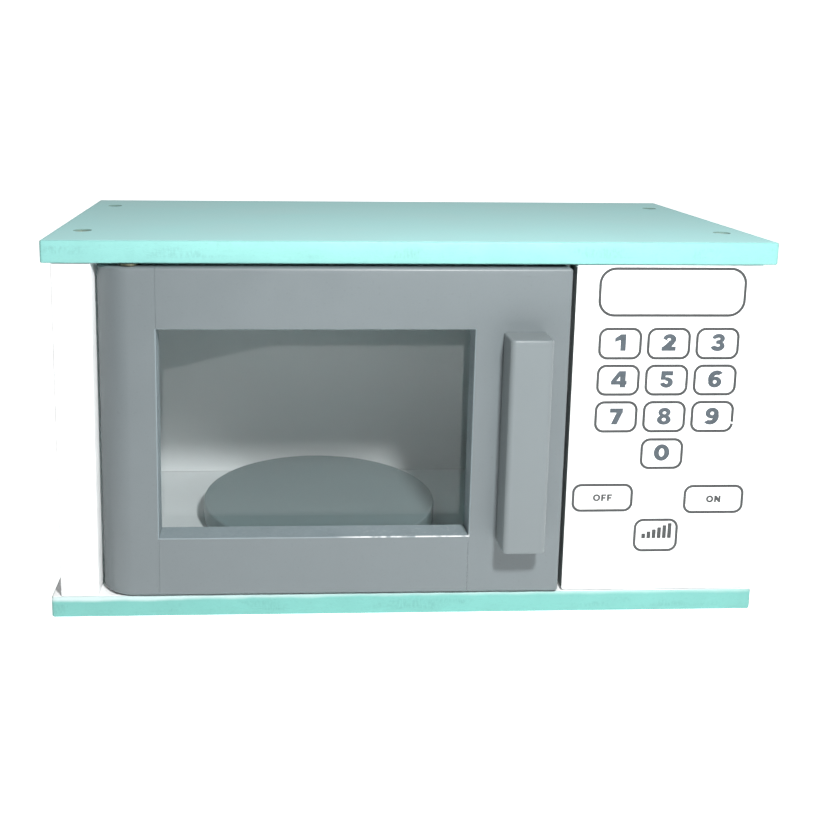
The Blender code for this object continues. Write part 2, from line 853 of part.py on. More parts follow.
MAGNET_RADIUS = MAGNET_DIAMETER / 2
hole(
    "magnet_hole",
    (CATCH_X, PARTITION_FRONT_Y, CATCH_Z),
    FORWARD,
    MAGNET_RADIUS + SEAT_GAP,
    MAGNET_LENGTH - MAGNET_PROUD + SEAT_GAP,
    partition_panel,
)
turned(
    "catch_magnet",
    [(0, 0), (MAGNET_RADIUS, 0), (MAGNET_RADIUS, -MAGNET_LENGTH), (0, -MAGNET_LENGTH)],
    (CATCH_X, MAGNET_FACE_Y, CATCH_Z),
    FORWARD,
    RING_STEPS,
    MAGNET,
)
pan_screw(
    "catch_screw",
    (CATCH_X, DOOR_BACK_Y + SEAT_GAP, CATCH_Z),
    CATCH_SCREW_HEAD_DIAMETER,
    CATCH_SCREW_HEAD_HEIGHT,
    CATCH_SCREW_DIAMETER,
    SEAT_GAP + DOOR_THICKNESS * CATCH_SCREW_DEPTH_SHARE,
    door_latch_stile,
)


# Turntable: a disc on a pin, over a spacer ring


def turntable_profile():
    """The disc's profile, with an eased upper and lower rim."""
    inset = TURNTABLE_RADIUS - TURNTABLE_RIM_RADIUS
    upper = [
        (inset + out, up - TURNTABLE_RIM_RADIUS)
        for out, up in quarter_oval(TURNTABLE_RIM_RADIUS, TURNTABLE_RIM_RADIUS, ARRIS_STEPS)
    ]
    lower = [(radius, -TURNTABLE_THICKNESS - height) for radius, height in reversed(upper)]
    return [(0, 0)] + upper + lower + [(0, -TURNTABLE_THICKNESS)]


turntable_disc = turned(
    "turntable_disc",
    turntable_profile(),
    (TURNTABLE_X, TURNTABLE_Y, TURNTABLE_TOP_Z),
    UP,
    DISC_STEPS,
    DISC_GREY,
    turntable_axis,
)

PIN_RADIUS = TURNTABLE_PIN_DIAMETER / 2
PIN_IN_DISC = TURNTABLE_THICKNESS * TURNTABLE_PIN_SHARE
PIN_IN_BOARD = BOARD_THICKNESS * TURNTABLE_PIN_SHARE
PIN_LENGTH = PIN_IN_DISC + TURNTABLE_LIFT + PIN_IN_BOARD

hole(
    "turntable_disc_hole",
    (TURNTABLE_X, TURNTABLE_Y, TURNTABLE_BOTTOM_Z),
    DOWN,
    PIN_RADIUS + SEAT_GAP,
    PIN_IN_DISC + SEAT_GAP,
    turntable_disc,
)
hole(
    "turntable_board_hole",
    (TURNTABLE_X, TURNTABLE_Y, FLOOR_Z),
    UP,
    PIN_RADIUS + SEAT_GAP,
    PIN_IN_BOARD + SEAT_GAP,
    bottom_board,
)
turned(
    "turntable_pin",
    pin_profile(PIN_RADIUS, PIN_LENGTH),
    (TURNTABLE_X, TURNTABLE_Y, TURNTABLE_BOTTOM_Z + PIN_IN_DISC),
    UP,
    RING_STEPS,
    STEEL,
)
turned(
    "turntable_spacer",
    ring_profile(
        SPACER_DIAMETER / 2,
        PIN_RADIUS + SEAT_GAP,
        TURNTABLE_LIFT - 2 * SEAT_GAP,
    ),
    (TURNTABLE_X, TURNTABLE_Y, FLOOR_Z + SEAT_GAP),
    UP,
    RING_STEPS,
    WHITE,
    closed=True,
)
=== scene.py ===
import math

import bmesh
import bpy
from mathutils import Matrix, Vector, noise


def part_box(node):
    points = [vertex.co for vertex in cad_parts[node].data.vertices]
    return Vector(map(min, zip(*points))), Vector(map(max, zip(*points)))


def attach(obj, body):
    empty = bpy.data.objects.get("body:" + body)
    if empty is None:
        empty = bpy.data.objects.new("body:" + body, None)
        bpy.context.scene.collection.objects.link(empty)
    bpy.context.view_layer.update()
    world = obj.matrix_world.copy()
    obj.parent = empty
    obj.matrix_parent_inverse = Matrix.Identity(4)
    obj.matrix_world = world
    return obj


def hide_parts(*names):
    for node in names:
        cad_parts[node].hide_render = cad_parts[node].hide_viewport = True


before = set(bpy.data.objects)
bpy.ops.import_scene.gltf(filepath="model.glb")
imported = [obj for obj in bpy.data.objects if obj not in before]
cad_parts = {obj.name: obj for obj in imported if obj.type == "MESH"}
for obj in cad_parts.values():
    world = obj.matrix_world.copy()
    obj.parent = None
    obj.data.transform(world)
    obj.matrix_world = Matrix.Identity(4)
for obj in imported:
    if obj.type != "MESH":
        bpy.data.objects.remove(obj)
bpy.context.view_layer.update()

MM = 0.001

# Camera
CAMERA_PLACE = Vector((-0.0720, -0.63416, 0.28964))
CAMERA_YAW = 0.0461
CAMERA_PITCH = 0.1680
CAMERA_ROLL = -0.0105
CAMERA_LENS = 46.306
CAMERA_SENSOR = 36.0
CAMERA_SHIFT = (0.10054, -0.17821)

# Light
KEY_PLACE = (0.085, -0.557, 0.505)
KEY_RADIUS = 0.032
KEY_POWER = 24.3
# The room's light from the left, right, front, back, below and above
ROOM_LIGHT = (0.045, 0.445, 0.297, 0.64, 0.105, 0.225)
ROOM_BACKDROP = 1.15
FLOOR_GLOW_FRONT = 0.04
FLOOR_GLOW_BACK = 0.77
FLOOR_SEEN = 0.97
FLOOR_FRONT = -0.673
FLOOR_LEFT_FRONT = -0.4
FLOOR_CORNER_LEFT = -0.365
FLOOR_CORNER_RIGHT = -0.081
FLOOR_REACH = 6.0
FLOOR_GLOW_ENDS = (-0.36, -0.06)

# Paint colours, linear
# The face mint is lighter than the edge mint partly because sawn edges soak up paint and partly
# as painted light on the top face
MINT = (0.336, 0.656, 0.645)
MINT_EDGE = (0.196, 0.455, 0.427)
# The bottom board's edge mint is a darker copy of the edge mint: painted shade on the lower edge
MINT_LOW_EDGE_SHADED = (0.135, 0.378, 0.342)
MINT_END = (0.26, 0.34, 0.31)
BAND_LEFT = (0.49, 0.60, 0.60)
BAND_RIGHT = (0.30, 0.48, 0.46)
WHITE = (0.84, 0.85, 0.85)
GREY = (0.134, 0.157, 0.165)
GREY_EDGE = (0.195, 0.237, 0.254)
# Dark grey for the control panel's side face by the door: painted shade in the gap
GAP_SHADE_GREY = (0.090, 0.108, 0.108)
HANDLE_GREY = (0.150, 0.174, 0.181)
DISC_GREY = (0.232, 0.292, 0.297)
INK = (0.054, 0.070, 0.084)
LINE_INK = (0.044, 0.047, 0.048)
# Dark mint of the screw countersinks: painted shade in the recesses
SINK_SHADE_GREEN = (0.150, 0.260, 0.230)
OLIVE = (0.330, 0.380, 0.270)
DARK_OLIVE_SLIT_SHADE = (0.080, 0.130, 0.115)
TARNISH = (0.170, 0.300, 0.270)
PALE_RIM_HIGHLIGHT = (0.620, 0.850, 0.820)
ZINC = (0.42, 0.40, 0.33)
DULL_ZINC = (0.20, 0.21, 0.17)
NICKEL = (0.62, 0.61, 0.58)
DULL_BRASS = (0.17, 0.17, 0.12)


# Materials


class Paint:
    """A node material that is built up from a Principled shader."""

    def __init__(self, name, colour, roughness, metallic=0.0, coat=0.0):
        self.material = bpy.data.materials.new(name)
        self.material.use_nodes = True
        self.tree = self.material.node_tree
        self.shader = self.tree.nodes["Principled BSDF"]
        self.shader.inputs["Base Color"].default_value = (*colour, 1.0)
        self.shader.inputs["Roughness"].default_value = roughness
        self.shader.inputs["Metallic"].default_value = metallic
        self.shader.inputs["Coat Weight"].default_value = coat
        self.place = self.add("ShaderNodeTexCoord").outputs["Object"]
        self.normal = None
        self.material.diffuse_color = (*colour, 1.0)

    def add(self, kind, links=None, **values):
        node = self.tree.nodes.new(kind)
        for key, value in values.items():
            setattr(node, key, value)
        for socket, source in (links or {}).items():
            if isinstance(source, bpy.types.NodeSocket):
                self.tree.links.new(source, node.inputs[socket])
            else:
                node.inputs[socket].default_value = source
        return node

    def stretched(self, scale):
        """The object's coordinates, scaled apart along the three axes."""
        return self.add(
            "ShaderNodeMapping", {"Vector": self.place, "Scale": scale}
        ).outputs["Vector"]

    def noise(self, scale, detail=2.0, rough=0.5, place=None):
        return self.add(
            "ShaderNodeTexNoise",
            {
                "Vector": place or self.place,
                "Scale": scale,
                "Detail": detail,
                "Roughness": rough,
            },
        ).outputs["Fac"]

    def ramp(self, source, low, high, low_value=0.0, high_value=1.0):
        """A value that runs between two others while the source runs between two."""
        return self.add(
            "ShaderNodeMapRange",
            {
                "Value": source,
                "From Min": low,
                "From Max": high,
                "To Min": low_value,
                "To Max": high_value,
            },
        ).outputs["Result"]

    def maths(self, operation, first, second):
        return self.add(
            "ShaderNodeMath", {0: first, 1: second}, operation=operation
        ).outputs["Value"]

    def mix(self, share, first, second):
        node = self.add("ShaderNodeMix", data_type="RGBA")
        for socket, source in ((0, share), (6, first), (7, second)):
            if isinstance(source, bpy.types.NodeSocket):
                self.tree.links.new(source, node.inputs[socket])
            else:
                node.inputs[socket].default_value = source
        return node.outputs[2]

    def set_colour(self, source):
        self.tree.links.new(source, self.shader.inputs["Base Color"])

    def set_roughness(self, source):
        self.tree.links.new(source, self.shader.inputs["Roughness"])

    def bump(self, height, strength, distance):
        links = {"Height": height, "Strength": strength, "Distance": distance}
        if self.normal:
            links["Normal"] = self.normal
        self.normal = self.add("ShaderNodeBump", links).outputs["Normal"]
        self.tree.links.new(self.normal, self.shader.inputs["Normal"])


def shade(colour, factor):
    return tuple(min(1.0, channel * factor) for channel in colour[:3]) + (1.0,)


def painted(name, colour, roughness=0.42, mottle=0.02, peel=0.12, pits=0.0):
    """Sprayed satin paint on board: faint clouding, orange peel and small pits."""
    paint = Paint(name, colour, roughness)
    clouds = paint.noise(22.0, 4.0, 0.6)
    tint = paint.mix(
        paint.ramp(clouds, 0.3, 0.7), shade(colour, 1 - mottle), shade(colour, 1 + mottle)
    )
    fine = paint.noise(900.0, 2.0, 0.5)
    if pits:
        specks = paint.ramp(paint.noise(620.0, 3.0, 0.6), 0.60, 0.72)
        tint = paint.mix(paint.maths("MULTIPLY", specks, pits), tint, shade(colour, 0.72))
        paint.bump(specks, -0.35, 0.0002)
    paint.set_colour(tint)
    paint.set_roughness(paint.ramp(clouds, 0.3, 0.7, roughness - 0.04, roughness + 0.05))
    paint.bump(fine, peel, 0.0002)
    return paint.material


# Middle heights of the worn stretches, and how far from them the wear ends and is full
TOP_WEAR_HEIGHT = 0.2030
BOTTOM_WEAR_HEIGHT = 0.0055
WEAR_REACH = (0.0036, 0.0022)
# The pale band on the bottom board's edge, whose lower side climbs from left to right
BAND_ENDS = (-0.195, -0.02)
BAND_STARTS = (0.0092, 0.0107)
BAND_SOFT = 0.0009
BAND_WANDER = 0.0004


def board_edge_paint(name, colour, wear_height, white_band=False):
    """The boards' sawn edges, where the fibres soak up the paint and leave it rougher."""
    paint = Paint(name, colour, 0.48)
    clouds = paint.noise(55.0, 4.0, 0.65)
    tint = paint.mix(paint.ramp(clouds, 0.3, 0.7), shade(colour, 0.96), shade(colour, 1.04))
    fibres = paint.noise(1.0, 4.0, 0.65, paint.stretched((420.0, 420.0, 1500.0)))
    tint = paint.mix(paint.ramp(fibres, 0.56, 0.74, 0.0, 0.55), tint, shade(colour, 0.80))
    nicks = paint.ramp(paint.noise(230.0, 3.0, 0.6), 0.62, 0.72)
    tint = paint.mix(paint.maths("MULTIPLY", nicks, 0.30), tint, shade(colour, 0.76))
    wide_patches = paint.noise(1.0, 2.0, 0.5, paint.stretched((38.0, 38.0, 90.0)))
    clusters = paint.ramp(wide_patches, 0.52, 0.62)
    fine_patches = paint.noise(1.0, 3.0, 0.6, paint.stretched((800.0, 800.0, 260.0)))
    strokes = paint.ramp(fine_patches, 0.42, 0.60)
    parts = paint.add("ShaderNodeSeparateXYZ", {"Vector": paint.place}).outputs
    middle = paint.maths("ADD", parts["Z"], -wear_height)
    near = paint.ramp(paint.maths("ABSOLUTE", middle, 0.0), *WEAR_REACH)
    worn = paint.maths("MULTIPLY", paint.maths("MULTIPLY", clusters, near), strokes)
    tint = paint.mix(paint.maths("MULTIPLY", worn, 0.5), tint, shade(colour, 0.74))
    if white_band:
        start = paint.ramp(parts["X"], *BAND_ENDS, *BAND_STARTS)
        wander = paint.noise(1.0, 3.0, 0.5, paint.stretched((60.0, 60.0, 10.0)))
        shift = paint.ramp(wander, 0.3, 0.7, -BAND_WANDER, BAND_WANDER)
        shifted = paint.maths("ADD", parts["Z"], shift)
        over = paint.maths("SUBTRACT", shifted, start)
        across = paint.ramp(parts["X"], *BAND_ENDS)
        pale = paint.mix(across, (*BAND_LEFT, 1.0), (*BAND_RIGHT, 1.0))
        tint = paint.mix(paint.ramp(over, -BAND_SOFT, BAND_SOFT), tint, pale)
    paint.set_colour(tint)
    paint.set_roughness(paint.ramp(fibres, 0.3, 0.7, 0.42, 0.58))
    paint.bump(fibres, 0.45, 0.0003)
    paint.bump(nicks, -0.5, 0.0003)
    return paint.material


SILL_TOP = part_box("door_bottom_rail")[1].z
SILL_WEAR_START = (-0.040, -0.026)
SILL_WEAR_HEIGHTS = (SILL_TOP + 0.0012, SILL_TOP + 0.0002)
DOOR_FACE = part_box("door_bottom_rail")[0].y
RIM_WEAR_DEPTHS = (DOOR_FACE + 0.0012, DOOR_FACE + 0.0005)


def speckled_edge_paint(name, colour):
    """The window's sawn edges, whose sill is worn to the pale primer at its right end."""
    paint = Paint(name, colour, 0.5)
    clouds = paint.noise(70.0, 4.0, 0.65)
    tint = paint.mix(paint.ramp(clouds, 0.3, 0.7), shade(colour, 0.95), shade(colour, 1.06))
    grit = paint.noise(420.0, 3.0, 0.7)
    parts = paint.add("ShaderNodeSeparateXYZ", {"Vector": paint.place}).outputs
    place = paint.maths(
        "MULTIPLY",
        paint.ramp(parts["X"], *SILL_WEAR_START),
        paint.ramp(parts["Z"], *SILL_WEAR_HEIGHTS),
    )
    specks = paint.maths("MULTIPLY", paint.ramp(grit, 0.50, 0.70), 0.10)
    rim = paint.maths(
        "MULTIPLY",
        paint.ramp(parts["Y"], *RIM_WEAR_DEPTHS, 0.0, 0.6),
        paint.ramp(paint.noise(160.0, 2.0, 0.5), 0.36, 0.50),
    )
    worn = paint.maths("MULTIPLY", place, paint.maths("MAXIMUM", specks, rim))
    stray = paint.maths("MULTIPLY", paint.ramp(grit, 0.66, 0.72), 0.04)
    tint = paint.mix(paint.maths("MAXIMUM", worn, stray), tint, (*WHITE, 1.0))
    paint.set_colour(tint)
    paint.set_roughness(paint.ramp(grit, 0.3, 0.7, 0.42, 0.62))
    paint.bump(grit, 0.25, 0.0003)
    return paint.material


def metal(name, colour, roughness, grain=700.0):
    paint = Paint(name, colour, roughness, metallic=1.0)
    clouds = paint.noise(grain, 3.0, 0.6)
    paint.set_colour(
        paint.mix(paint.ramp(clouds, 0.3, 0.7), shade(colour, 0.86), shade(colour, 1.1))
    )
    paint.set_roughness(paint.ramp(clouds, 0.3, 0.7, roughness - 0.07, roughness + 0.1))
    paint.bump(clouds, 0.15, 0.0001)
    return paint.material


def printed(name, colour):
    """Screen-printed ink, a little uneven."""
    paint = Paint(name, colour, 0.5)
    cover = paint.noise(420.0, 3.0, 0.65)
    paint.set_colour(
        paint.mix(paint.ramp(cover, 0.3, 0.72), shade(colour, 1.22), shade(colour, 0.88))
    )
    paint.set_roughness(paint.ramp(cover, 0.3, 0.7, 0.44, 0.56))
    paint.bump(cover, 0.1, 0.0001)
    return paint.material


SHEET_CLEAR = (0.905, 0.918, 0.92)
SHEET_MIRROR = 0.027


def clear_sheet(name):
    """A clear sheet that lets light straight through and mirrors more of it at a slant."""
    material = bpy.data.materials.new(name)
    material.use_nodes = True
    tree = material.node_tree
    tree.nodes.remove(tree.nodes["Principled BSDF"])
    output = tree.nodes["Material Output"]
    clear = tree.nodes.new("ShaderNodeBsdfTransparent")
    clear.inputs["Color"].default_value = (*SHEET_CLEAR, 1.0)
    gloss = tree.nodes.new("ShaderNodeBsdfGlossy")
    gloss.inputs["Roughness"].default_value = 0.03
    facing = tree.nodes.new("ShaderNodeLayerWeight")
    slant = tree.nodes.new("ShaderNodeMath")
    slant.operation = "POWER"
    slant.inputs[1].default_value = 5.0
    tree.links.new(facing.outputs["Facing"], slant.inputs[0])
    share = tree.nodes.new("ShaderNodeMapRange")
    share.inputs["To Min"].default_value = SHEET_MIRROR
    tree.links.new(slant.outputs["Value"], share.inputs["Value"])
    ripple_place = tree.nodes.new("ShaderNodeTexCoord")
    ripple = tree.nodes.new("ShaderNodeTexNoise")
    ripple.inputs["Scale"].default_value = 14.0
    ripple.inputs["Detail"].default_value = 1.0
    tree.links.new(ripple_place.outputs["Object"], ripple.inputs["Vector"])
    waves = tree.nodes.new("ShaderNodeBump")
    waves.inputs["Strength"].default_value = 0.03
    waves.inputs["Distance"].default_value = 0.001
    tree.links.new(ripple.outputs["Fac"], waves.inputs["Height"])
    tree.links.new(waves.outputs["Normal"], gloss.inputs["Normal"])
    blend = tree.nodes.new("ShaderNodeMixShader")
    tree.links.new(share.outputs["Result"], blend.inputs["Fac"])
    tree.links.new(clear.outputs["BSDF"], blend.inputs[1])
    tree.links.new(gloss.outputs["BSDF"], blend.inputs[2])
    tree.links.new(blend.outputs["Shader"], output.inputs["Surface"])
    material.diffuse_color = (0.9, 0.95, 0.95, 0.25)
    return material


def screw_paint_and_painted_light(name, node, left, right):
    """A dull countersunk head whose colour changes from left to right: partly paint and tarnish,
    partly a painted highlight and painted shade.
    """
    paint = Paint(name, left, 0.55, metallic=0.3)
    low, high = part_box(node)
    across = paint.add("ShaderNodeSeparateXYZ", {"Vector": paint.place}).outputs["X"]
    clouds = paint.noise(600.0, 3.0, 0.6)
    along_head = paint.ramp(across, low.x, high.x, 0.0, 0.8)
    mixed = paint.maths("ADD", along_head, paint.ramp(clouds, 0.3, 0.7, -0.1, 0.3))
    paint.set_colour(paint.mix(mixed, (*left, 1.0), (*right, 1.0)))
    paint.set_roughness(paint.ramp(clouds, 0.3, 0.7, 0.45, 0.65))
    paint.bump(clouds, 0.4, 0.0002)
    return paint.material


MINT_PAINT = painted("mint_paint", MINT, 0.40, peel=0.10)
MINT_EDGES = board_edge_paint("mint_edge_paint", MINT_EDGE, TOP_WEAR_HEIGHT)
# The bottom board's edges: darker mint as painted shade, with the pale band of white paint
MINT_SHADED_WHITE_EDGES = board_edge_paint(
    "mint_edge_paint_shaded_with_white", MINT_LOW_EDGE_SHADED, BOTTOM_WEAR_HEIGHT, white_band=True
)
WHITE_PAINT = painted("white_paint", WHITE, 0.42, mottle=0.012)
MINT_ARRIS = painted("mint_arris_paint", MINT_END, 0.5, mottle=0.05)
GREY_PAINT = painted("grey_paint", GREY, 0.40, mottle=0.03, pits=0.25)
GAP_SHADE_PAINT = painted("gap_shade_grey_paint", GAP_SHADE_GREY, 0.6, mottle=0.05)
GREY_EDGES = speckled_edge_paint("grey_edge_paint", GREY_EDGE)
HANDLE_PAINT = painted("handle_grey_paint", HANDLE_GREY, 0.40, mottle=0.02)
DISC_PAINT = painted("disc_grey_paint", DISC_GREY, 0.45, mottle=0.03)
DIGIT_INK = printed("digit_ink", INK)
FRAME_INK = printed("frame_ink", LINE_INK)
# The countersinks' dark mint is painted shade in the recesses
SINK_SHADE_PAINT = painted("screw_sink_shade_paint", SINK_SHADE_GREEN, 0.55, mottle=0.12, peel=0.5, pits=0.4)
ZINC_STEEL = metal("zinc_steel", ZINC, 0.38)
DULL_STEEL = metal("dull_steel", DULL_ZINC, 0.50)
NICKEL_STEEL = metal("nickel", NICKEL, 0.24)
BRASS_METAL = metal("brass", DULL_BRASS, 0.45)
ACRYLIC = clear_sheet("clear_acrylic")


# Meshes


def new_object(name, mesh, *materials):
    thing = bpy.data.objects.new(name, mesh)
    bpy.context.scene.collection.objects.link(thing)
    for material in materials:
        mesh.materials.append(material)
    return thing


def along(edge, axis):
    run = edge.verts[1].co - edge.verts[0].co
    return abs(run[axis]) > run.length * 0.999


def lies_at(edge, axis, value):
    return all(abs(vert.co[axis] - value) < 1e-6 for vert in edge.verts)


def is_sharp(edge):
    return len(edge.link_faces) == 2 and edge.calc_face_angle() > math.radians(60)


def block_bm(low, high, roundings=()):
    """A box whose picked edges are rounded: each rounding is a test, a radius and steps."""
    low = Vector(low)
    high = Vector(high)
    bm = bmesh.new()
    bmesh.ops.create_cube(bm, size=1.0)
    bmesh.ops.scale(bm, vec=high - low, verts=bm.verts)
    bmesh.ops.translate(bm, vec=(low + high) / 2, verts=bm.verts)
    return rounded(bm, roundings)


def rounded(bm, roundings):
    for picks, radius, steps in roundings:
        edges = [edge for edge in bm.edges if is_sharp(edge) and picks(edge)]
        bmesh.ops.bevel(
            bm, geom=edges, offset=radius, segments=steps, profile=0.5, affect="EDGES"
        )
    return bm


def prism_bm(lower, upper):
    """A closed solid between two like rows of points."""
    bm = bmesh.new()
    lower = [bm.verts.new(point) for point in lower]
    upper = [bm.verts.new(point) for point in upper]
    bm.faces.new(lower)
    bm.faces.new(upper)
    for i in range(len(lower)):
        bm.faces.new((lower[i - 1], lower[i], upper[i], upper[i - 1]))
    bmesh.ops.recalc_face_normals(bm, faces=bm.faces)
    return bm


def slice_up(bm, spacing):
    """Adds rows of points across a block, so that its edges can waver."""
    for axis, step in enumerate(spacing):
        if not step:
            continue
        values = [vert.co[axis] for vert in bm.verts]
        low, high = min(values), max(values)
        normal = Vector((0, 0, 0))
        normal[axis] = 1
        count = int((high - low) / step)
        for index in range(1, count):
            place = normal * (low + (high - low) * index / count)
            geometry = bm.verts[:] + bm.edges[:] + bm.faces[:]
            bmesh.ops.bisect_plane(bm, geom=geometry, plane_co=place, plane_no=normal)


def sand(bm, depth, size, seed):
    """Wears the rounded edges unevenly by up to a depth, as sanding by hand does."""
    bm.normal_update()
    moves = []
    for vert in bm.verts:
        flat = max(abs(value) for value in vert.normal)
        amount = min(1.0, (1 - flat) * 4)
        if amount > 0:
            wave = noise.noise(vert.co / size + Vector((seed, seed * 2, seed * 3)))
            fine = noise.noise(vert.co / (size * 0.3) + Vector((seed * 5, seed, 0)))
            push = depth * amount * min(1.0, max(0.0, 0.5 + 0.7 * wave + 0.35 * fine))
            moves.append((vert, vert.normal * -push))
    for vert, move in moves:
        vert.co += move


def mesh_of(bm, name, smooth_angle=35):
    mesh = bpy.data.meshes.new(name)
    bmesh.ops.recalc_face_normals(bm, faces=bm.faces)
    bm.to_mesh(mesh)
    bm.free()
    mesh.shade_smooth()
    mesh.set_sharp_from_angle(angle=math.radians(smooth_angle))
    return mesh


def applied(thing):
    """The object's mesh with its modifiers applied, and the modifiers gone."""
    view = bpy.context.evaluated_depsgraph_get()
    mesh = bpy.data.meshes.new_from_object(thing.evaluated_get(view))
    thing.modifiers.clear()
    thing.data = mesh
    mesh.shade_smooth()
    mesh.set_sharp_from_angle(angle=math.radians(35))
    return thing


def carve(thing, cutters, operation="DIFFERENCE"):
    """Cuts an object by others, which are then gone."""
    for cutter in cutters:
        boolean = thing.modifiers.new(cutter.name, "BOOLEAN")
        boolean.operation = operation
        boolean.object = cutter
        boolean.solver = "EXACT"
        applied(thing)
        bpy.data.objects.remove(cutter)
    return thing


def spun(name, profile, steps, place, direction, *materials, smooth_angle=35):
    """A solid of revolution from a profile of radii and heights, down the outer side."""
    bm = bmesh.new()
    rings = []
    for radius, height in profile:
        if radius == 0:
            rings.append([bm.verts.new((0, 0, height))])
            continue
        rings.append(
            [
                bm.verts.new(
                    (
                        radius * math.cos(2 * math.pi * i / steps),
                        radius * math.sin(2 * math.pi * i / steps),
                        height,
                    )
                )
                for i in range(steps)
            ]
        )
    for upper, lower in zip(rings, rings[1:]):
        for i in range(steps):
            j = (i + 1) % steps
            corners = [upper[i % len(upper)], upper[j % len(upper)]]
            corners += [lower[j % len(lower)], lower[i % len(lower)]]
            bm.faces.new(list(dict.fromkeys(corners)))
    turn = Vector((0, 0, 1)).rotation_difference(Vector(direction)).to_matrix().to_4x4()
    bmesh.ops.transform(bm, matrix=Matrix.Translation(Vector(place)) @ turn, verts=bm.verts)
    return new_object(name, mesh_of(bm, name, smooth_angle), *materials)


def ride_for(thing, body, slot, *nodes):
    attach(thing, body)
    if nodes:
        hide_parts(*nodes)
    return thing


def sort_faces(thing, chooser):
    """Gives each face the material that the chooser names for it by number."""
    for face in thing.data.polygons:
        face.material_index = chooser(face)


# Boards

BOARD_CORNER = 1.5 * MM
BOARD_ARRIS = 0.8 * MM
BOARD_SLICE = 2.5 * MM
BOARD_WEAR = 0.25 * MM
BOARD_WAVE = 9 * MM
SCREW_NAMES = [f"screw_{row}_{side}" for row in ("front", "back") for side in ("left", "right")]
SINK_MARGIN = {"top_screw_front_left": 0.9, "top_screw_front_right": 0.6}
DEFAULT_SINK_MARGIN = 0.3
SCREW_HEAD = 4.2 * MM
SINK_OVER = 2 * MM
SHANK_HOLE = 2 * MM
SINK_DEPTH = 20 * MM


def upright(edge):
    return along(edge, 2)


def level(edge):
    return not along(edge, 2)


def make_board(node, seed, outer_face_up, edge_material, inner_material):
    low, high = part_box(node)
    bm = block_bm(low, high, [(upright, BOARD_CORNER, 6), (level, BOARD_ARRIS, 5)])
    slice_up(bm, (BOARD_SLICE, BOARD_SLICE, 0))
    sand(bm, BOARD_WEAR, BOARD_WAVE, seed)
    paints = (MINT_PAINT, edge_material, inner_material, SINK_SHADE_PAINT, MINT_ARRIS)
    board = new_object(node + "_painted", mesh_of(bm, node), *paints)

    def chooser(face):
        if 0.3 < abs(face.normal.x) < 0.96 and abs(face.normal.z) > 0.25:
            return paints.index(MINT_ARRIS)
        if abs(face.normal.z) < 0.92:
            return 1
        return 0 if (face.normal.z > 0) == outer_face_up else 2

    sort_faces(board, chooser)
    cutters = []
    outer = high.z if outer_face_up else low.z
    out = 1 if outer_face_up else -1
    for name in SCREW_NAMES:
        screw = ("top_" if outer_face_up else "bottom_") + name
        screw_low, screw_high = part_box(screw)
        middle = (screw_low + screw_high) / 2
        mouth = SCREW_HEAD + SINK_MARGIN.get(screw, DEFAULT_SINK_MARGIN) * MM
        cutters.append(
            spun(
                screw + "_sink",
                [
                    (0, SINK_OVER),
                    (mouth + SINK_OVER, SINK_OVER),
                    (SHANK_HOLE, SHANK_HOLE - mouth),
                    (SHANK_HOLE, -SINK_DEPTH),
                    (0, -SINK_DEPTH),
                ],
                48,
                (middle.x, middle.y, outer),
                (0, 0, out),
                SINK_SHADE_PAINT,
            )
        )
    carve(board, cutters)
    return ride_for(board, "root", "mint_paint", node)


make_board("top_board", 3.1, True, MINT_EDGES, MINT_PAINT)
make_board("bottom_board", 7.7, False, MINT_SHADED_WHITE_EDGES, WHITE_PAINT)


# Screws

# Head colours from left to right: paint and tarnish, with painted highlights on the lighter sides
# and painted shade in the dark slits
HEAD_COLOURS_AND_PAINTED_LIGHT = {
    "top_screw_front_left": (OLIVE, DARK_OLIVE_SLIT_SHADE),
    "top_screw_front_right": (PALE_RIM_HIGHLIGHT, TARNISH),
    "top_screw_back_left": (TARNISH, TARNISH),
    "top_screw_back_right": (TARNISH, DARK_OLIVE_SLIT_SHADE),
}

RECESS_SWING = 0.4
RECESS_SLIM = 0.13
SHANK_SHARE = 0.88
FLAT_SHANK = 1.9 * MM
HEAD_BEVEL = 0.25 * MM
HEAD_BEVEL_DROP = 0.12 * MM
HEAD_LIP = 0.35 * MM


def cross_recess(name, place, direction, size, depth):
    """Two cutters, one across the other, in the shape of a cross point driver."""
    turn = Vector((0, 0, 1)).rotation_difference(Vector(direction)).to_matrix().to_4x4()
    cutters = []
    for number, swing in enumerate((RECESS_SWING, RECESS_SWING + math.pi / 2)):
        half_long, half_wide = size / 2, size * RECESS_SLIM
        rows = []
        for height, share in ((-depth, 0.35), (0.5 * MM, 1.1)):
            rows.append(
                [
                    (x * half_long * share, y * half_wide * max(share, 0.6), height)
                    for x, y in ((-1, -1), (1, -1), (1, 1), (-1, 1))
                ]
            )
        bm = prism_bm(*rows)
        move = Matrix.Translation(Vector(place)) @ turn @ Matrix.Rotation(swing, 4, "Z")
        bmesh.ops.transform(bm, matrix=move, verts=bm.verts)
        cutters.append(new_object(f"{name}_{number}", mesh_of(bm, name), ZINC_STEEL))
    return cutters


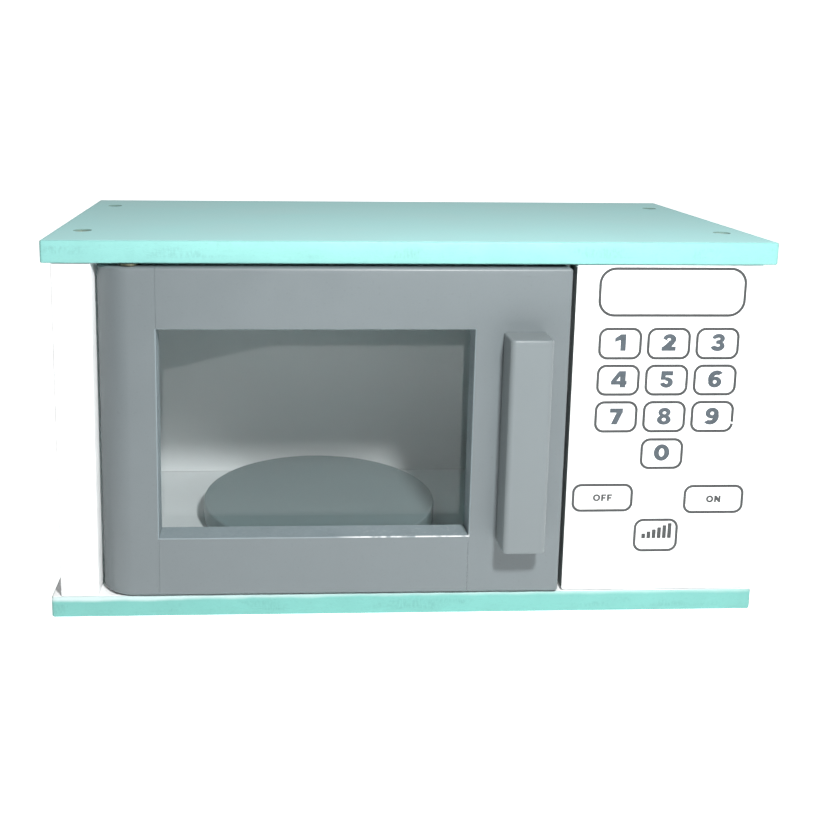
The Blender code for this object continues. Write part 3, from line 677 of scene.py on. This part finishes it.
def flat_screw(node, direction):
    colours = HEAD_COLOURS_AND_PAINTED_LIGHT.get(node)
    head_material = screw_paint_and_painted_light(node + "_paint", node, *colours) if colours else DULL_STEEL
    low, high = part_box(node)
    middle = (low + high) / 2
    face = high.z if direction > 0 else low.z
    length = high.z - low.z
    place = (middle.x, middle.y, face)
    profile = [
        (0, 0),
        (SCREW_HEAD - HEAD_BEVEL, 0),
        (SCREW_HEAD, -HEAD_BEVEL_DROP),
        (SCREW_HEAD, -HEAD_LIP),
        (FLAT_SHANK, -HEAD_LIP - SCREW_HEAD + FLAT_SHANK),
        (FLAT_SHANK, -length * SHANK_SHARE),
        (0, -length),
    ]
    screw = spun(node + "_head", profile, 40, place, (0, 0, direction), head_material)
    carve(screw, cross_recess(node + "_recess", place, (0, 0, direction), 4.6 * MM, 1.8 * MM))
    return ride_for(screw, "root", "steel", node)


for name in SCREW_NAMES:
    flat_screw("top_" + name, 1)
    flat_screw("bottom_" + name, -1)


# The head's height, the shank's radius and the recess's length in millimetres
ROUND_SCREWS = {"handle": (2.2, 2.0, 4.0), "pane": (1.6, 1.2, 2.8), "catch": (1.2, 1.5, 3.0)}


def round_screw(node):
    """A pan-head screw that goes in from behind."""
    low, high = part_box(node)
    middle = (low + high) / 2
    head = (high.x - low.x) / 2
    length = high.y - low.y
    head_height, shank, recess = (value * MM for value in ROUND_SCREWS[node.split("_")[0]])
    rim = head_height * 0.35
    dome = [
        (head * math.sin(turn), rim + (head_height - rim) * math.cos(turn))
        for turn in [math.pi / 2 * i / 9 for i in range(10)]
    ]
    seat = high.y - head_height
    tip = head_height - length
    profile = dome + [(head, 0), (shank, 0), (shank, tip * SHANK_SHARE), (0, tip)]
    screw = spun(node + "_head", profile, 36, (middle.x, seat, middle.z), (0, 1, 0), ZINC_STEEL)
    place = (middle.x, high.y, middle.z)
    carve(screw, cross_recess(node + "_recess", place, (0, 1, 0), recess, 1.1 * MM))
    return ride_for(screw, "door", "steel", node)


for node in (
    "handle_screw_upper",
    "handle_screw_lower",
    "pane_screw_upper_left",
    "pane_screw_upper_right",
    "pane_screw_lower_left",
    "pane_screw_lower_right",
    "catch_screw",
):
    round_screw(node)


# Upright boards

PANEL_CORNER = 1.5 * MM
PANEL_ARRIS = 0.5 * MM
UPRIGHT_WAVE = 8 * MM


def make_upright(
    node, body, seed, roundings, spacing, material=WHITE_PAINT, slot="white_paint", wear=0.2
):
    low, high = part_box(node)
    bm = block_bm(low, high, roundings(low, high))
    slice_up(bm, spacing)
    sand(bm, wear * MM, UPRIGHT_WAVE, seed)
    piece = new_object(node + "_painted", mesh_of(bm, node), material)
    return ride_for(piece, body, slot, node)


def front_arris(radius, steps=4):
    def roundings(low, high):
        return [(lambda edge: along(edge, 2) and lies_at(edge, 1, low.y), radius, steps)]

    return roundings


make_upright("left_side_panel", "root", 1.3, front_arris(1.0 * MM), (0, 0, 3 * MM))
make_upright("right_side_panel", "root", 2.3, front_arris(0.8 * MM), (0, 0, 6 * MM))


def panel_roundings(low, high):
    return [
        (lambda edge: along(edge, 1), PANEL_CORNER, 8),
        (lambda edge: lies_at(edge, 1, low.y), PANEL_ARRIS, 3),
    ]


panel = make_upright("control_panel", "root", 4.3, panel_roundings, (3 * MM, 0, 3 * MM), wear=0.1)
# The panel's side face beside the door gets dark grey: painted shade in the gap
panel.data.materials.append(GAP_SHADE_PAINT)
sort_faces(panel, lambda face: 1 if face.normal.x < -0.9 else 0)


# Door frame

DOOR_ARRIS = 1.4 * MM
DOOR_CORNER = 1.5 * MM
DOOR_SLICE = 4 * MM
DOOR_WEAR = 0.22 * MM
DOOR_WAVE = 7 * MM
WINDOW_CHAMFER = 0.5 * MM
HINGE_ROUND_RADIUS = 19 * MM
HINGE_ROUND_FLAT = 1 * MM
OVERRUN = 2 * MM

DOOR_LOW, hinge_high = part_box("door_hinge_stile")
latch_low, DOOR_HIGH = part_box("door_latch_stile")
WINDOW = {
    "left": hinge_high.x,
    "right": latch_low.x,
    "bottom": SILL_TOP,
    "top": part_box("door_top_rail")[0].z,
}


def door_plan(steps=26):
    """The door seen from above: a square block whose front left is one wide round."""
    radius = HINGE_ROUND_RADIUS
    drop = radius - (DOOR_HIGH.y - DOOR_LOW.y - HINGE_ROUND_FLAT)
    middle_x = DOOR_LOW.x + math.sqrt(radius**2 - drop**2)
    middle_y = DOOR_LOW.y + radius
    turns = [math.acos(drop / radius) * i / steps for i in range(steps + 1)]
    curve = [
        (middle_x - radius * math.sin(turn), middle_y - radius * math.cos(turn)) for turn in turns
    ]
    return curve + [
        (DOOR_LOW.x, DOOR_HIGH.y),
        (DOOR_HIGH.x, DOOR_HIGH.y),
        (DOOR_HIGH.x, DOOR_LOW.y),
    ]


def door_outline(name):
    def is_latch_corner(edge):
        return along(edge, 1) and lies_at(edge, 0, DOOR_HIGH.x)

    def is_rim(edge):
        return not lies_at(edge, 1, DOOR_HIGH.y)

    plan = door_plan()
    bm = prism_bm(
        [(x, y, DOOR_LOW.z) for x, y in plan], [(x, y, DOOR_HIGH.z) for x, y in plan]
    )
    rounded(bm, [(is_latch_corner, DOOR_CORNER, 8), (is_rim, DOOR_ARRIS, 5)])
    slice_up(bm, (DOOR_SLICE, 0, DOOR_SLICE))
    sand(bm, DOOR_WEAR, DOOR_WAVE, 9.1)
    return new_object(name, mesh_of(bm, name), GREY_PAINT)


def window_cutter(name):
    reach = WINDOW_CHAMFER + OVERRUN
    low = (WINDOW["left"] - reach, DOOR_LOW.y - 2 * OVERRUN, WINDOW["bottom"] - reach)
    high = (WINDOW["right"] + reach, DOOR_LOW.y + reach, WINDOW["top"] + reach)
    bm = block_bm(
        low, high, [(lambda edge: lies_at(edge, 1, high[1]), WINDOW_CHAMFER + 2 * OVERRUN, 1)]
    )
    return new_object(name, mesh_of(bm, name), GREY_PAINT)


def door_piece(node, low, high):
    bm = block_bm(low, high)
    piece = new_object(node + "_painted", mesh_of(bm, node), GREY_PAINT)
    carve(piece, [door_outline("outline")], "INTERSECT")
    carve(piece, [window_cutter("window")])
    piece.data.materials.append(GREY_EDGES)
    edge_index = len(piece.data.materials) - 1

    def chooser(face):
        middle = face.center
        reach = WINDOW_CHAMFER + 0.1 * MM
        in_window = (
            WINDOW["left"] - reach < middle.x < WINDOW["right"] + reach
            and WINDOW["bottom"] - reach < middle.z < WINDOW["top"] + reach
        )
        return edge_index if in_window and abs(face.normal.y) < 0.9 else 0

    sort_faces(piece, chooser)
    return ride_for(piece, "door", "grey_paint", node)


JOINT_GAP = 0.10 * MM
Y_LOW = DOOR_LOW.y - OVERRUN
Y_HIGH = DOOR_HIGH.y + OVERRUN
Z_LOW = DOOR_LOW.z - OVERRUN
Z_HIGH = DOOR_HIGH.z + OVERRUN
door_piece(
    "door_hinge_stile",
    (DOOR_LOW.x - OVERRUN, Y_LOW, Z_LOW),
    (WINDOW["left"], Y_HIGH, Z_HIGH),
)
door_piece(
    "door_latch_stile",
    (WINDOW["right"], Y_LOW, Z_LOW),
    (DOOR_HIGH.x + OVERRUN, Y_HIGH, Z_HIGH),
)
door_piece(
    "door_top_rail",
    (WINDOW["left"] + JOINT_GAP, Y_LOW, WINDOW["top"]),
    (WINDOW["right"], Y_HIGH, Z_HIGH),
)
door_piece(
    "door_bottom_rail",
    (WINDOW["left"] + JOINT_GAP, Y_LOW, Z_LOW),
    (WINDOW["right"] - JOINT_GAP, Y_HIGH, WINDOW["bottom"]),
)


# Handle

HANDLE_ROUND = 3 * MM
HANDLE_ARRIS = 1 * MM


def handle_roundings(low, high):
    return [
        (lambda edge: along(edge, 2) and lies_at(edge, 1, low.y), HANDLE_ROUND, 8),
        (lambda edge: not along(edge, 2) and not lies_at(edge, 1, high.y), HANDLE_ARRIS, 4),
    ]


make_upright(
    "door_handle",
    "door",
    5.5,
    handle_roundings,
    (0, 0, 4 * MM),
    HANDLE_PAINT,
    "handle_grey_paint",
    wear=0.15,
)


# Disc

disc_low, disc_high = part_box("turntable_disc")
DISC_MIDDLE = (disc_low + disc_high) / 2
DISC_RADIUS = (disc_high.x - disc_low.x) / 2
DISC_DEPTH = disc_high.z - disc_low.z
RIM = 1.2 * MM
SOCKET_RADIUS = 3.3 * MM
SOCKET_TOP = -7.5 * MM
DISC_SOCKET = [(SOCKET_RADIUS, -DISC_DEPTH), (SOCKET_RADIUS, SOCKET_TOP), (0, SOCKET_TOP)]
rim_turns = [math.pi / 2 * i / 6 for i in range(7)]
upper_rim = [
    (DISC_RADIUS - RIM + RIM * math.sin(turn), RIM * math.cos(turn) - RIM) for turn in rim_turns
]
lower_rim = [(radius, -DISC_DEPTH - height) for radius, height in reversed(upper_rim)]
disc = spun(
    "turntable_disc_painted",
    [(0, 0), (DISC_RADIUS * 0.5, 0)] + upper_rim + lower_rim + DISC_SOCKET,
    180,
    (DISC_MIDDLE.x, DISC_MIDDLE.y, disc_high.z),
    (0, 0, 1),
    DISC_PAINT,
)
ride_for(disc, "turntable", "disc_grey_paint", "turntable_disc")


# Back panel and its nails

NAIL_HEAD = 2.1 * MM
NAIL_PROUD = 0.2 * MM
NAIL_ROWS = 4
NAIL_MARGIN = 14 * MM
NAIL_SHANK = 0.8 * MM
NAIL_LENGTH = 13 * MM
BACK_ARRIS = 0.4 * MM
BACK_SLICE = 6 * MM
BACK_WEAR = 0.15 * MM
BACK_WAVE = 9 * MM

back_low, back_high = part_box("back_panel")
back_face = back_high.y - NAIL_PROUD
back_bm = block_bm(
    back_low,
    (back_high.x, back_face, back_high.z),
    [(lambda edge: lies_at(edge, 1, back_face), BACK_ARRIS, 2)],
)
slice_up(back_bm, (BACK_SLICE, 0, BACK_SLICE))
sand(back_bm, BACK_WEAR, BACK_WAVE, 6.2)
back = new_object("back_panel_painted", mesh_of(back_bm, "back_panel"), WHITE_PAINT)
ride_for(back, "root", "white_paint", "back_panel")

partition_low, partition_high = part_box("partition_panel")
left_low, left_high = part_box("left_side_panel")
right_low, right_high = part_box("right_side_panel")
nail_columns = [
    (left_low.x + left_high.x) / 2,
    (partition_low.x + partition_high.x) / 2,
    (right_low.x + right_high.x) / 2,
]
NAIL_PROFILE = [
    (0, NAIL_PROUD),
    (NAIL_HEAD * 0.6, NAIL_PROUD * 0.9),
    (NAIL_HEAD * 0.92, NAIL_PROUD * 0.5),
    (NAIL_HEAD, 0),
    (NAIL_HEAD, -0.3 * MM),
    (NAIL_SHANK, -0.9 * MM),
    (NAIL_SHANK, 2 * MM - NAIL_LENGTH),
    (0, -NAIL_LENGTH),
]
for column, x in enumerate(nail_columns):
    for row in range(NAIL_ROWS):
        height = (back_high.z - back_low.z - 2 * NAIL_MARGIN) * row / (NAIL_ROWS - 1)
        nail = spun(
            f"back_nail_{column * NAIL_ROWS + row + 1}",
            NAIL_PROFILE,
            24,
            (x, back_face, back_low.z + NAIL_MARGIN + height),
            (0, 1, 0),
            ZINC_STEEL,
        )
        ride_for(nail, "root", "steel")


# CAD pieces that stay, with better materials

STAYING = {
    "partition_panel": WHITE_PAINT,
    "turntable_spacer": WHITE_PAINT,
    "door_pane": ACRYLIC,
    "hinge_pin_upper": ZINC_STEEL,
    "hinge_pin_lower": ZINC_STEEL,
    "hinge_washer_upper": BRASS_METAL,
    "hinge_washer_lower": BRASS_METAL,
    "catch_magnet": NICKEL_STEEL,
    "turntable_pin": ZINC_STEEL,
}
for node, material in STAYING.items():
    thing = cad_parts[node]
    thing.data.materials.clear()
    thing.data.materials.append(material)


# Print on the control panel: every mark is a thin raised layer of ink

PRINT_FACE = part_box("control_panel")[0].y
PRINT_FRONT = PRINT_FACE - 0.03 * MM
PRINT_BACK = PRINT_FACE + 0.05 * MM
CUT_PAST = 0.5 * MM
LINE_WIDTH = 1.5 * MM
DIGIT_HEIGHT = 9.2
LETTER_HEIGHT = 3.9
LETTER_SPACE = 1.1


def stamp(name, outline, material, cutting=False):
    """A flat prism on the panel's face from an outline of x and z."""
    front = PRINT_FRONT - (CUT_PAST if cutting else 0)
    back = PRINT_BACK + (CUT_PAST if cutting else 0)
    bm = prism_bm([(x, front, z) for x, z in outline], [(x, back, z) for x, z in outline])
    return new_object(name, mesh_of(bm, name), material)


def rounded_outline(left, right, low, high, radius, steps=12):
    points = []
    for x, z, start in (
        (right - radius, high - radius, 0),
        (left + radius, high - radius, 90),
        (left + radius, low + radius, 180),
        (right - radius, low + radius, 270),
    ):
        for i in range(steps + 1):
            turn = math.radians(start + 90 * i / steps)
            points.append((x + radius * math.cos(turn), z + radius * math.sin(turn)))
    return points


def oval(x, z, half_wide, half_high, steps=56):
    turns = [2 * math.pi * i / steps for i in range(steps)]
    return [(x + half_wide * math.cos(turn), z + half_high * math.sin(turn)) for turn in turns]


def box(left, low, right, high):
    return [(left, low), (right, low), (right, high), (left, high)]


def turned_about(outlines, x, z):
    """The same outlines, turned by half a turn about a place."""
    return [[(2 * x - px, 2 * z - pz) for px, pz in outline] for outline in outlines]


SIX = (
    [oval(4.75, 4.7, 4.75, 4.8)],
    [oval(4.95, 4.6, 2.1, 2.35), [(3.5, -1), (12, -1), (12, 10.26), (3.5, 5.4)]],
    [oval(3.85, 2.95, 3.7, 3.1)],
    [oval(3.85, 3.1, 1.0, 1.0)],
)
# Each digit or letter is outlines that are added and cut in turn, for a height of 9.2
GLYPHS = {
    "0": ([oval(4.35, 4.6, 4.35, 4.75)], [oval(4.35, 4.6, 1.45, 2.35)]),
    "1": ([box(3.05, 0, 6.0, 9.2), [(0, 4.9), (3.2, 6.0), (3.2, 9.2), (0, 7.0)]],),
    "2": (
        [oval(4.3, 6.35, 3.65, 3.0)],
        [oval(4.0, 6.3, 0.95, 0.72), [(-1, 7.6), (-1, 2), (8.6, 2), (8.6, 2.8)]],
        [
            [(0.1, 0), (3.4, 0), (7.1, 4.1), (6.2, 5.7), (4.9, 6.0), (0.1, 1.6)],
            box(0.1, 0, 7.9, 2.35),
        ],
    ),
    "3": (
        [oval(4.35, 6.75, 3.5, 2.7), oval(4.1, 2.65, 3.85, 2.9)],
        [
            [(-1, 1.7), (3.1, 3.3), (3.1, 6.1), (-1, 7.8)],
            oval(4.45, 6.6, 0.85, 0.6),
            [(2.5, 5.5), (4.4, 6.0), (4.5, 7.18), (2.5, 6.6)],
            oval(4.25, 3.05, 1.0, 0.68),
            [(2.5, 4.0), (4.3, 3.72), (4.2, 2.38), (2.5, 2.9)],
        ],
    ),
    "4": (
        [[(0, 1.6), (8.0, 1.6), (8.0, 9.2), (4.2, 9.2), (0, 3.6)]],
        [[(3.1, 3.75), (4.9, 3.75), (4.9, 6.2)]],
        [box(4.9, 0, 8.0, 9.2), box(6.5, 1.6, 8.7, 3.75)],
    ),
    "5": (
        [oval(3.75, 2.8, 3.6, 3.0)],
        [oval(3.6, 2.9, 0.95, 0.85), [(-1, 1.9), (3.1, 3.1), (3.1, 7), (-1, 7)]],
        [box(0.65, 6.65, 7.2, 9.2), [(0.45, 4.25), (3.1, 4.25), (3.2, 7.5), (0.65, 7.5)]],
    ),
    "6": SIX,
    "7": ([box(0, 6.65, 7.2, 9.1), [(0.8, 0), (4.1, 0), (7.2, 7.2), (7.2, 9.1), (4.7, 9.1)]],),
    "8": (
        [oval(3.85, 2.6, 3.85, 2.85), oval(4.0, 6.8, 3.4, 2.6)],
        [oval(3.85, 2.7, 1.1, 0.95), oval(4.0, 6.5, 1.0, 0.78)],
    ),
    "9": tuple(turned_about(outlines, 3.8, 4.6) for outlines in SIX),
    "F": ([box(0, 0, 2.7, 9.2), box(0, 6.9, 6.6, 9.2), box(0, 3.1, 6.0, 5.4)],),
    "N": (
        [
            box(0, 0, 2.6, 9.2),
            box(5.8, 0, 8.4, 9.2),
            [(0, 9.2), (0, 6.6), (5.7, 0), (8.4, 0), (8.4, 2.6), (2.7, 9.2)],
        ],
    ),
    "O": ([oval(4.9, 4.6, 4.9, 4.8)], [oval(4.9, 4.6, 2.2, 2.35)]),
}


def glyph_width(label):
    return max(x for outline in GLYPHS[label][0] for x, z in outline)


def print_glyph(name, label, left, low, height, ink=DIGIT_INK):
    """One digit or letter, with its lower left corner and height in millimetres."""
    scale = height / DIGIT_HEIGHT
    body = None
    for number, outlines in enumerate(GLYPHS[label]):
        cutting = number % 2 == 1
        for index, outline in enumerate(outlines):
            points = [((left + x * scale) * MM, (low + z * scale) * MM) for x, z in outline]
            shape = stamp(f"{name}_shape_{number}_{index}", points, ink, cutting)
            if body:
                carve(body, [shape], "DIFFERENCE" if cutting else "UNION")
            else:
                body = shape
    body.name = name
    return ride_for(body, "root", "grey_paint")


def print_word(name, word, middle, low, height):
    scale = height / DIGIT_HEIGHT
    widths = [glyph_width(label) for label in word]
    left = middle - (sum(widths) + LETTER_SPACE * (len(word) - 1)) * scale / 2
    for number, (label, width) in enumerate(zip(word, widths), 1):
        print_glyph(f"{name}_letter_{number}", label, left, low, height, FRAME_INK)
        left += (width + LETTER_SPACE) * scale


def print_frame(name, left, right, low, high, radius, gap=None):
    """A line round a rounded rectangle, whose outer sides are given in millimetres."""
    left, right, low, high, radius = (value * MM for value in (left, right, low, high, radius))
    line = stamp(name, rounded_outline(left, right, low, high, radius), FRAME_INK)
    inner = rounded_outline(
        left + LINE_WIDTH,
        right - LINE_WIDTH,
        low + LINE_WIDTH,
        high - LINE_WIDTH,
        radius - LINE_WIDTH,
    )
    cutters = [stamp(name + "_inside", inner, FRAME_INK, True)]
    if gap:
        corners = [(x * MM, z * MM) for x, z in gap]
        cutters.append(stamp(name + "_gap", corners, FRAME_INK, True))
    carve(line, cutters)
    return ride_for(line, "root", "grey_paint")


COLUMNS = ((100.0, 123.7), (126.5, 150.3), (153.1, 177.0))
ROWS = ((145.2, 162.9), (125.0, 142.5), (104.2, 122.1), (83.2, 101.0))
DIGIT_MIDDLES = (112.0, 138.4, 165.1)
DIGIT_LOWS = (150.05, 129.65, 108.85, 88.15)
WORN_GAP = [(174.6, 109.5), (178.5, 108.7), (178.5, 109.8), (174.6, 110.3)]
SIX_HALF_WIDE = 3.85
KEYS = [(str(1 + row * 3 + column), column, row) for row in range(3) for column in range(3)]
KEYS.append(("0", 1, 3))
BUTTON_CORNER = 5.2
for label, column, row in KEYS:
    gap = WORN_GAP if label == "9" else None
    print_frame(f"print_key_{label}_frame", *COLUMNS[column], *ROWS[row], BUTTON_CORNER, gap)
    half_wide = SIX_HALF_WIDE if label in "69" else glyph_width(label) / 2
    left = DIGIT_MIDDLES[column] - half_wide
    print_glyph(f"print_digit_{label}", label, left, DIGIT_LOWS[row], DIGIT_HEIGHT)

print_frame("print_display_frame", 98.7, 178.8, 168.8, 195.7, 9.0)
print_frame("print_off_frame", 89.9, 124.0, 58.7, 75.0, 5.1)
print_frame("print_on_frame", 152.3, 186.1, 57.3, 74.0, 5.1)
print_frame("print_power_frame", 125.5, 150.5, 35.1, 54.5, 5.3)
print_word("print_off", "OFF", 107.0, 64.95, LETTER_HEIGHT)
print_word("print_on", "ON", 169.2, 63.75, LETTER_HEIGHT)

BAR_COUNT = 6
BAR_LEFT, BAR_RIGHT, BAR_LOW = 130.1, 146.8, 42.95
BAR_FIRST_TOP, BAR_LAST_TOP = 45.75, 51.75
BAR_GAP = 0.75
BAR_CORNER = 0.35
bar_step = (BAR_RIGHT - BAR_LEFT + BAR_GAP) / BAR_COUNT
for number in range(BAR_COUNT):
    bar_left = BAR_LEFT + number * bar_step
    top = BAR_FIRST_TOP + (BAR_LAST_TOP - BAR_FIRST_TOP) * number / (BAR_COUNT - 1)
    corners = (bar_left, bar_left + bar_step - BAR_GAP, BAR_LOW, top, BAR_CORNER)
    outline = rounded_outline(*(value * MM for value in corners), steps=3)
    bar = stamp(f"print_power_bar_{number + 1}", outline, FRAME_INK)
    ride_for(bar, "root", "grey_paint")


# Camera, light and floor


def set_camera():
    yaw, pitch, roll = CAMERA_YAW, CAMERA_PITCH, CAMERA_ROLL
    forward = Vector(
        (math.sin(yaw) * math.cos(pitch), math.cos(yaw) * math.cos(pitch), -math.sin(pitch))
    )
    right = Vector((math.cos(yaw), -math.sin(yaw), 0))
    down = forward.cross(right)
    turned_right = math.cos(roll) * right + math.sin(roll) * down
    turned_down = math.cos(roll) * down - math.sin(roll) * right
    data = bpy.data.cameras.new("camera")
    data.lens = CAMERA_LENS
    data.sensor_width = CAMERA_SENSOR
    data.shift_x, data.shift_y = CAMERA_SHIFT
    camera = bpy.data.objects.new("camera", data)
    bpy.context.scene.collection.objects.link(camera)
    turn = Matrix((turned_right, -turned_down, -forward)).transposed().to_4x4()
    camera.matrix_world = Matrix.Translation(CAMERA_PLACE) @ turn
    bpy.context.scene.camera = camera


def add_key_light():
    data = bpy.data.lights.new("key", "POINT")
    data.energy = KEY_POWER
    data.shadow_soft_size = KEY_RADIUS
    data.color = (1.0, 1.0, 1.0)
    light = bpy.data.objects.new("key", data)
    bpy.context.scene.collection.objects.link(light)
    light.location = KEY_PLACE


def set_world():
    """A room whose light differs by side, with a plain white backdrop for the camera."""
    world = bpy.data.worlds.new("studio")
    bpy.context.scene.world = world
    world.use_nodes = True
    tree = world.node_tree

    def vector_maths(operation, first, second):
        node = tree.nodes.new("ShaderNodeVectorMath")
        node.operation = operation
        for socket, source in zip(node.inputs, (first, second)):
            if isinstance(source, bpy.types.NodeSocket):
                tree.links.new(source, socket)
            else:
                socket.default_value = source
        return node.outputs["Value" if operation == "DOT_PRODUCT" else "Vector"]

    left, right, front, back, below, above = ROOM_LIGHT
    direction = tree.nodes.new("ShaderNodeTexCoord").outputs["Generated"]
    strength = tree.nodes.new("ShaderNodeMath")
    strength.operation = "ADD"
    halves = ((1, (right, back, above)), (-1, (left, front, below)))
    for number, (sign, sides) in enumerate(halves):
        turned = vector_maths("MULTIPLY", direction, (sign, sign, sign))
        ahead = vector_maths("MAXIMUM", turned, (0, 0, 0))
        squares = vector_maths("MULTIPLY", ahead, ahead)
        tree.links.new(vector_maths("DOT_PRODUCT", squares, sides), strength.inputs[number])
    lit = tree.nodes["Background"]
    lit.inputs["Color"].default_value = (1.0, 1.0, 1.0, 1.0)
    tree.links.new(strength.outputs["Value"], lit.inputs["Strength"])
    seen = tree.nodes.new("ShaderNodeBackground")
    seen.inputs["Color"].default_value = (1.0, 1.0, 1.0, 1.0)
    seen.inputs["Strength"].default_value = ROOM_BACKDROP
    path = tree.nodes.new("ShaderNodeLightPath")
    blend = tree.nodes.new("ShaderNodeMixShader")
    tree.links.new(path.outputs["Is Camera Ray"], blend.inputs["Fac"])
    tree.links.new(lit.outputs["Background"], blend.inputs[1])
    tree.links.new(seen.outputs["Background"], blend.inputs[2])
    tree.links.new(blend.outputs["Shader"], tree.nodes["World Output"].inputs["Surface"])


def add_floor():
    """A sheet of white paper that ends in front of the toy, with the corner off at the left."""
    bm = bmesh.new()
    corners = [
        (-FLOOR_REACH, FLOOR_REACH),
        (-FLOOR_REACH, FLOOR_LEFT_FRONT),
        (FLOOR_CORNER_LEFT, FLOOR_LEFT_FRONT),
        (FLOOR_CORNER_RIGHT, FLOOR_FRONT),
        (FLOOR_REACH, FLOOR_FRONT),
        (FLOOR_REACH, FLOOR_REACH),
    ]
    bm.faces.new([bm.verts.new((x, y, 0)) for x, y in corners])
    paint = Paint("floor", (0.86, 0.86, 0.86), 0.8)
    clouds = paint.noise(3.0, 2.0, 0.5)
    paint.set_colour(
        paint.mix(paint.ramp(clouds, 0.3, 0.7), (0.855, 0.86, 0.86, 1), (0.87, 0.875, 0.875, 1))
    )
    paint.shader.inputs["Specular IOR Level"].default_value = 0.0
    paint.shader.inputs["Emission Color"].default_value = (1.0, 1.0, 1.0, 1.0)
    parts = paint.add("ShaderNodeSeparateXYZ", {"Vector": paint.place}).outputs
    glow = paint.ramp(parts["Y"], *FLOOR_GLOW_ENDS, FLOOR_GLOW_FRONT, FLOOR_GLOW_BACK)
    seen = paint.add("ShaderNodeLightPath").outputs["Is Camera Ray"]
    glow = paint.maths("MAXIMUM", glow, paint.maths("MULTIPLY", seen, FLOOR_SEEN))
    paint.tree.links.new(glow, paint.shader.inputs["Emission Strength"])
    floor = new_object("floor", mesh_of(bm, "floor"), paint.material)
    floor.location.z = -0.0002


set_camera()
set_world()
add_floor()
add_key_light()
bpy.context.scene.view_settings.view_transform = "Standard"
bpy.context.scene.view_settings.look = "None"
